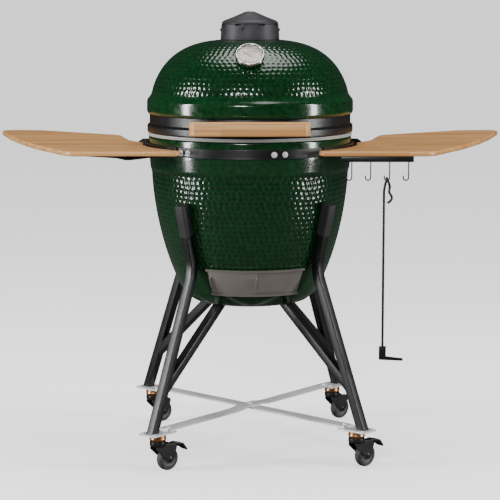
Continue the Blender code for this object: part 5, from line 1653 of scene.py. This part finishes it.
@dataclass
class Caster:
    """A swivelling caster, drawn with its trail along X about its pivot.

    Args:
        name: which corner it is on.
        radius: radius of the wheel.
        wide: width of the tyre.
        sheet: thickness of the fork's cheeks.
        deck: height of the underside of the fork's deck.
        race: height of the raceway's underside.
        race_radius: radius of the raceway.
        plate: height of the mounting plate.
        braked: whether it has a pedal.
    """

    name: str
    radius: float = 0.030
    wide: float = 0.020
    sheet: float = 0.0025
    deck: float = 0.0665
    race: float = 0.0800
    race_radius: float = 0.021
    plate: float = 0.0985
    braked: bool = False

    def build(self, palette: Palette) -> None:
        """Plate, raceway, fork, wheel and pedal."""
        pivot, axle = joint_place("swivel_" + self.name), joint_place("roll_" + self.name)
        trail = math.hypot(axle.x - pivot.x, axle.y - pivot.y)
        heading = math.atan2(axle.y - pivot.y, axle.x - pivot.x)
        place = Matrix.Translation((pivot.x, pivot.y, 0)) @ Matrix.Rotation(heading, 4, "Z")
        upright = Matrix.Rotation(math.pi / 2, 4, "X")

        local = math.atan2(pivot.y, pivot.x) - heading
        base = plate(box_section(0.088, 0.056, 0.007, 6), 0.004, 0.0008, 3).shifted(0, 0, self.plate + 0.002)
        heads = [bolt((x, y, self.plate + 0.0036), (0, 0, 1), 0.0042, 0.003) for x in (-0.034, 0.034)
                 for y in (-0.019, 0.019)]
        turn = Matrix.Rotation(local, 4, "Z")
        skin = joined([base] + heads).moved(place @ turn)
        place_piece("caster_plate_" + self.name, skin, [palette.zinc], "stand", ["caster_mount_" + self.name])
        r = self.race_radius
        cup = [(0, self.plate + 0.001), (r - 0.001, self.plate + 0.001), (r, self.race + 0.009),
               (r + 0.001, self.race + 0.006), (r - 0.002, self.race), (0.005, self.race),
               (0.005, self.deck - 0.0005), (0, self.deck - 0.0005)]
        skin = lathe(rounded(cup, 0.0022, 5, closed=False), 72).moved(place)
        place_piece("caster_race_" + self.name, skin, [palette.bronze], "stand", ())

        d, w, inside = self.deck, self.radius, self.wide / 2 + 0.0015
        bore, rim = 0.0053, self.race - 0.0003
        cup = [(bore, d), (bore, rim), (r, rim), (r, d + 0.004), (r - 0.002, d)]
        parts = [lathe(rounded(cup, 0.0018, 5), 72)]
        outline = [(-0.013, d + 0.006), (0.0145, d + 0.006), (trail + 0.012, d + 0.0025),
                   (trail + 0.0215, d - 0.003), (trail + 0.0205, d - 0.010), (trail + 0.010, w - 0.0025),
                   (trail + 0.0035, w - 0.009), (trail - 0.0035, w - 0.009), (trail - 0.010, w - 0.0025),
                   (-0.016, d - 0.006)]
        cheek = plate(rounded(outline, 0.005, 5), self.sheet, 0.0007, 3).moved(upright)
        reach = inside + self.sheet
        for side in (-1, 1):
            parts.append(cheek.shifted(0, side * (inside + self.sheet / 2), 0))
            parts.append(bolt((trail, side * (reach - 0.0002), w), (0, side, 0), 0.0046, 0.0024))
        axis = Matrix.Translation((trail, 0, w)) @ upright
        parts.append(lathe([(0, reach), (0.004, reach), (0.004, -reach), (0, -reach)], 24).moved(axis))
        if self.braked:
            hinge = joint_place("brake_" + self.name)
            x = math.hypot(hinge.x - pivot.x, hinge.y - pivot.y)
            end = reach - 0.001
            pin = lathe([(0, end), (0.002, end), (0.002, -end), (0, -end)], 16)
            parts.append(pin.moved(Matrix.Translation((x, 0, hinge.z)) @ upright))
        skin = joined(parts).moved(place)
        place_piece("caster_yoke_" + self.name, skin, [palette.powder], "fork_" + self.name,
                    ["caster_fork_" + self.name])

        half = self.wide / 2
        tyre = rounded([(0.0195, half - 0.0008), (w - 0.0032, half), (w, half - 0.0045), (w, -half + 0.0045),
                        (w - 0.0032, -half), (0.0195, -half + 0.0008)], 0.0026, 6)
        place_piece("caster_tyre_" + self.name, lathe(tyre, 96).moved(place @ axis), [palette.tyre],
                    "wheel_" + self.name, ["wheel_" + self.name])
        hub = rounded([(0.0043, half), (0.0100, half), (0.0118, half - 0.003), (0.0180, half - 0.003),
                       (0.0197, half - 0.0006), (0.0197, -half + 0.0006), (0.0180, -half + 0.003),
                       (0.0118, -half + 0.003), (0.0100, -half), (0.0043, -half)], 0.0009, 4)
        place_piece("caster_hub_" + self.name, lathe(hub, 72).moved(place @ axis), [palette.hub],
                    "wheel_" + self.name, ())
        if self.braked:
            self.pedal(palette, place @ Matrix.Translation((x, 0, hinge.z)) @ upright, 2 * inside - 0.001)

    def pedal(self, palette: Palette, place: Matrix, wide: float) -> None:
        """The brake pedal over the wheel.

        Args:
            palette: the materials.
            place: from the pedal's own axes to the caster, with its pin at the origin.
            wide: its width.
        """
        outline = [(-0.0045, 0.0035), (-0.003, 0.0055), (0.010, 0.0065), (0.030, 0.001), (0.042, -0.016),
                   (0.040, -0.019), (0.036, -0.017), (0.026, -0.003), (0.008, 0.0015), (0.0045, -0.0035),
                   (0, -0.0048), (-0.0045, -0.003)]
        skin = plate(rounded(outline, 0.0022, 4), wide, 0.0006, 3).moved(place)
        place_piece("caster_pedal_" + self.name, skin, [palette.powder], "pedal_" + self.name,
                    ["brake_pedal_" + self.name])


@dataclass
class Shelf:
    """A bamboo side shelf.

    Args:
        node: its CAD node.
        side: 1 on the right and -1 on the left.
        edge: radius of its rounded edges.
        gap: distance between its inner edge and the bowl band.
        nose: radius of its nose beside the bowl.
    """

    node: str
    side: int
    edge: float = 0.0032
    gap: float = 0.0125
    nose: float = 0.022

    def outline(self) -> np.ndarray:
        """Plan of a right-hand board, from its round nose along the front, tip and rear, and round the bowl.

        Returns:
            Points of (x, y). The rim's are shares of the board's reach and depth.
        """
        low, high = low_of("shelf_right"), high_of("shelf_right")
        axis = joint_place("shelf_fold_right").x
        inner = high_of("bowl_band").x + self.gap
        radius, inset = self.nose, 0.004
        nose_x = math.sqrt((inner + inset) ** 2 - (low.y + 2 * radius) ** 2) + inset
        turns = np.radians(np.linspace(90, 270, 14))
        nose = np.stack([nose_x + radius * np.cos(turns), low.y + radius + radius * np.sin(turns)], axis=1)
        share = np.array([(0.335, 0.0), (0.39, 0.01972), (0.62, 0.28), (0.76, 0.48), (0.875, 0.68),
                          (0.955, 0.85), (1.0, 0.955), (0.98, 0.98873), (0.9125, 1.0), (0.72, 0.985),
                          (0.44, 0.87), (0.155, 0.755), (0.120, 0.725), (0.035, 0.50)])
        rim = np.array([axis, low.y]) + share * np.array([high.x - axis, high.y - low.y])
        end = math.atan2(low.y + 2 * radius, nose_x)
        turns = np.linspace(math.radians(4), end, 22)[:-1]
        arc = inner * np.stack([np.cos(turns), np.sin(turns)], axis=1)
        return np.concatenate([nose, rounded(rim, 0.012, 5, closed=False), arc])

    def build(self, palette: Palette) -> None:
        """The board."""
        low, high = low_of(self.node), high_of(self.node)
        skin = plate(self.outline(), high.z - low.z, self.edge, 5).shifted(0, 0, (low.z + high.z) / 2)
        if self.side < 0:
            skin = skin.mirrored()
        place_piece(self.node + "_board", skin, [palette.bamboo], self.node, [self.node])


@dataclass
class Tools:
    """The hook rail under the right shelf, and the ash tool that hangs from it.

    Args:
        count: number of hooks.
        pitch: distance between hooks.
        first: distance of the first hook from the rail's end.
        drop: length of a hook below the rail.
        wire: radius of a hook's wire.
        bend: radius of a hook's bend.
        rod: radius of the tool's rod.
    """

    count: int = 4
    pitch: float = 0.0472
    first: float = 0.0255
    drop: float = 0.046
    wire: float = 0.0016
    bend: float = 0.0065
    rod: float = 0.0032

    def build(self, palette: Palette) -> None:
        """Rail, hooks and tool."""
        low, high = low_of("hook_rail"), high_of("hook_rail")
        y, base = low.y + 0.0015, high.z - 0.014
        middle = (low.x + high.x) / 2
        parts = [block((high.x - low.x, 0.003, 0.014), (middle, y, base + 0.007), 0.0007),
                 block((high.x - low.x - 0.02, 0.016, 0.002), (middle, y + 0.008, high.z - 0.001), 0.0006)]
        turn = np.linspace(0, np.pi, 15)
        for i in range(self.count):
            x = low.x + self.first + i * self.pitch
            bend = base - self.drop + self.bend + 0.0005
            across, drop = self.bend * (np.cos(turn) - 1), self.bend * np.sin(turn)
            curve = np.stack([x + across, np.full(len(turn), y), bend - drop], axis=1)
            path = np.concatenate([[(x, y, base + 0.004), (x, y, bend + 0.010)], curve,
                                   [(x - 2 * self.bend - 0.0004, y, base - self.drop + 0.0125)]])
            parts.append(sweep(path, circle(self.wire, 12), (0, 1, 0)))
        place_piece("hook_rail_steel", joined(parts), [palette.powder], "shelf_right", ["hook_rail"],
                    50)
        self.ash_tool(palette)

    def ash_tool(self, palette: Palette) -> None:
        """The ash tool: a rod with a loop over the third hook, a tail twisted round it, and a blade."""
        eye = joint_place("tool_swing")
        crest = eye - Vector((0, 0, self.bend - self.wire - self.rod - 0.0007))
        side = 0.0065
        foot = np.array([-0.0075, -side, -0.432])
        loop = [(-0.0075, -side, -0.030), (-0.004, -side, -0.012), (0, -side, 0), (0, side, 0),
                (0.004, side, -0.010), (0.0075, 0, -0.020), (0.0060, -side, -0.028),
                (0.0048, -side, -0.035), (0.0115, -side, -0.044), (0.0125, -side, -0.051),
                (0.0075, -side, -0.058), (0.0010, -side, -0.062)]
        line = np.concatenate([[foot, foot + [0, 0, 0.2]], loop])
        path = rounded(line, 0.006, 7, closed=False) + np.array(crest)
        rod = sweep(path, circle(self.rod, 16), (0.93, 0.21, 0.30))
        foot = Vector(foot) + crest
        blade = block((0.018, 0.003, 0.034), foot + Vector((0, 0, -0.010)), 0.0006)
        outline = [(-0.009, 0.0), (-0.009, -0.016), (0.052, -0.019), (0.052, -0.012), (0.0, -0.006)]
        toe = plate(rounded(outline, 0.0025, 4), 0.0032, 0.0006, 3)
        upright = Matrix.Rotation(math.pi / 2, 4, "X")
        toe = toe.moved(Matrix.Translation(foot + Vector((0, 0, -0.012))) @ upright)
        place_piece("ash_tool_steel", joined([rod, blade, toe]), [palette.powder], "ash_tool", ["ash_tool"],
                    50)


class Kept:
    """CAD nodes that are shown as they are, with a finish and softened edges."""

    def __init__(self, palette: Palette) -> None:
        """Name each node's material, slot and bevel width."""
        self.finishes = {
            "firebox": (palette.clay, "fired_clay", 0.002),
            "fire_ring": (palette.clay, "fired_clay", 0.002),
            "charcoal_grate": (palette.iron, "cast_iron", 0.0008),
            "cooking_grid": (palette.steel, "stainless", 0.0),
            "hinge_bracket": (palette.powder, "black_steel", 0.0007),
            "hinge_arm": (palette.powder, "black_steel", 0.0007),
            "handle_bracket_left": (palette.powder, "black_steel", 0.0007),
            "handle_bracket_right": (palette.powder, "black_steel", 0.0007),
            "shelf_bracket_left": (palette.powder, "black_steel", 0.0006),
            "shelf_bracket_right": (palette.powder, "black_steel", 0.0006),
            "shelf_arms_left": (palette.powder, "black_steel", 0.0005),
            "shelf_arms_right": (palette.powder, "black_steel", 0.0005),
            "mesh_screen": (palette.screen, "stainless", 0.0),
        }

    def build(self) -> None:
        """Give each node its finish and bevel."""
        for name, (finish, slot, edge) in self.finishes.items():
            node = frame["nodes"][name]
            node.data.materials.clear()
            node.data.materials.append(finish)
            if edge:
                bevel = node.modifiers.new("Edges", "BEVEL")
                bevel.width, bevel.segments, bevel.limit_method = edge, 2, "ANGLE"
                bevel.angle_limit = math.radians(40)
                bevel.use_clamp_overlap = True
            LOG.info("%s: CAD shape kept", name)


@dataclass
class Studio:
    """Floor, soft light and camera.

    Args:
        distance: distance from the camera to the model's origin, along Y.
        height: height of the camera.
        pitch: angle in degrees that it looks down.
        lens: focal length in millimetres on a 36 mm sensor.
        far: half the floor's width.
        pale: grey of the floor and its glow, to the camera.
        dim: grey of the floor to every other ray.
        sky: grey of the world to the camera.
        fill: colour of the world to dull surfaces.
        gloss: colour of the world to shiny surfaces.
    """

    distance: float = 4.78245
    height: float = 1.209
    pitch: float = 8.23
    lens: float = 129.7
    far: float = 40.0
    pale: float = 0.90
    dim: float = 0.10
    sky: float = 1.27
    fill: Colour = (0.40, 0.40, 0.41)
    gloss: Colour = (0.035, 0.035, 0.037)

    def lamp(self, name: str, place: Line, size: tuple[float, float], power: float) -> None:
        """A rectangular soft light that faces the grill.

        Args:
            name: its name.
            place: its place.
            size: its width and height.
            power: its power in watts.
        """
        light = bpy.data.lights.new(name, "AREA")
        light.shape, light.size, light.size_y, light.energy = "RECTANGLE", size[0], size[1], power
        lamp = bpy.data.objects.new(name, light)
        lamp.location = place
        lamp.rotation_mode = "QUATERNION"
        target = Vector((0, AXIS.y, 0.75))
        lamp.rotation_quaternion = (Vector(place) - target).to_track_quat("Z", "Y")
        bpy.context.scene.collection.objects.link(lamp)

    def floor(self) -> None:
        """A pale floor, which throws little light up at the grill."""
        far = self.far
        mesh = bpy.data.meshes.new("Floor")
        mesh.from_pydata([(-far, -far, 0), (far, -far, 0), (far, far, 0), (-far, far, 0)], [], [(0, 1, 2, 3)])
        paint, tree, shader = new_finish("Floor_paint", Roughness=0.9, Specular_IOR_Level=0.0,
                                         Emission_Strength=1.0)
        seen = tree.add("LightPath").outputs["Is Camera Ray"]
        tree.put(tree.mix(seen, (self.dim,) * 3, (self.pale,) * 3), shader.inputs["Base Color"])
        tree.put(tree.mix(seen, (0.0,) * 3, (self.pale,) * 3), shader.inputs["Emission Color"])
        mesh.materials.append(paint)
        floor = bpy.data.objects.new("Floor", mesh)
        bpy.context.scene.collection.objects.link(floor)

    def world(self) -> None:
        """A pale backdrop, dimmer to the grill than to the camera."""
        world = bpy.data.worlds.new("Studio")
        world.use_nodes = True
        bpy.context.scene.world = world
        tree = Tree(world.node_tree)
        path = tree.add("LightPath")
        light = tree.mix(path.outputs["Is Glossy Ray"], self.fill, self.gloss)
        colour = tree.mix(path.outputs["Is Camera Ray"], light, (self.sky,) * 3)
        tree.put(colour, world.node_tree.nodes["Background"].inputs["Color"])

    def camera(self) -> None:
        """The camera in front of the grill."""
        camera = bpy.data.cameras.new("Camera")
        camera.lens, camera.sensor_width = self.lens, 36.0
        camera.dof.use_dof = False
        viewer = bpy.data.objects.new("Camera", camera)
        viewer.location = (0, -self.distance, self.height)
        viewer.rotation_euler = (math.radians(90 - self.pitch), 0, 0)
        bpy.context.scene.collection.objects.link(viewer)
        bpy.context.scene.camera = viewer

    def build(self) -> None:
        """Everything round the grill."""
        self.floor()
        self.world()
        self.lamp("Strip_left", (-3.2, -1.1, 1.2), (0.42, 2.4), 120)
        self.lamp("Strip_right", (3.2, -1.1, 1.2), (0.42, 2.4), 95)
        self.lamp("Front_box", (-0.75, -4.3, 2.3), (0.9, 0.6), 95)
        self.lamp("Top_box", (0.2, 0.2, 3.6), (2.4, 2.0), 70)
        self.camera()


def main() -> None:
    """Build every piece."""
    palette = Palette()
    shells = Shells()
    shells.bowl(palette)
    shells.lid(palette)
    shells.seals(palette)
    Bands().build(palette)
    Handle().build(palette)
    Dial().build(palette)
    Chimney().build(palette)
    Door().build(palette, shells)
    Stand().build(palette, shells)
    for name in CORNERS:
        Caster(name, braked=name.startswith("front")).build(palette)
    Shelf("shelf_left", -1).build(palette)
    Shelf("shelf_right", 1).build(palette)
    Tools().build(palette)
    Kept(palette).build()
    Studio().build()


if __name__ == "__main__":
    main()
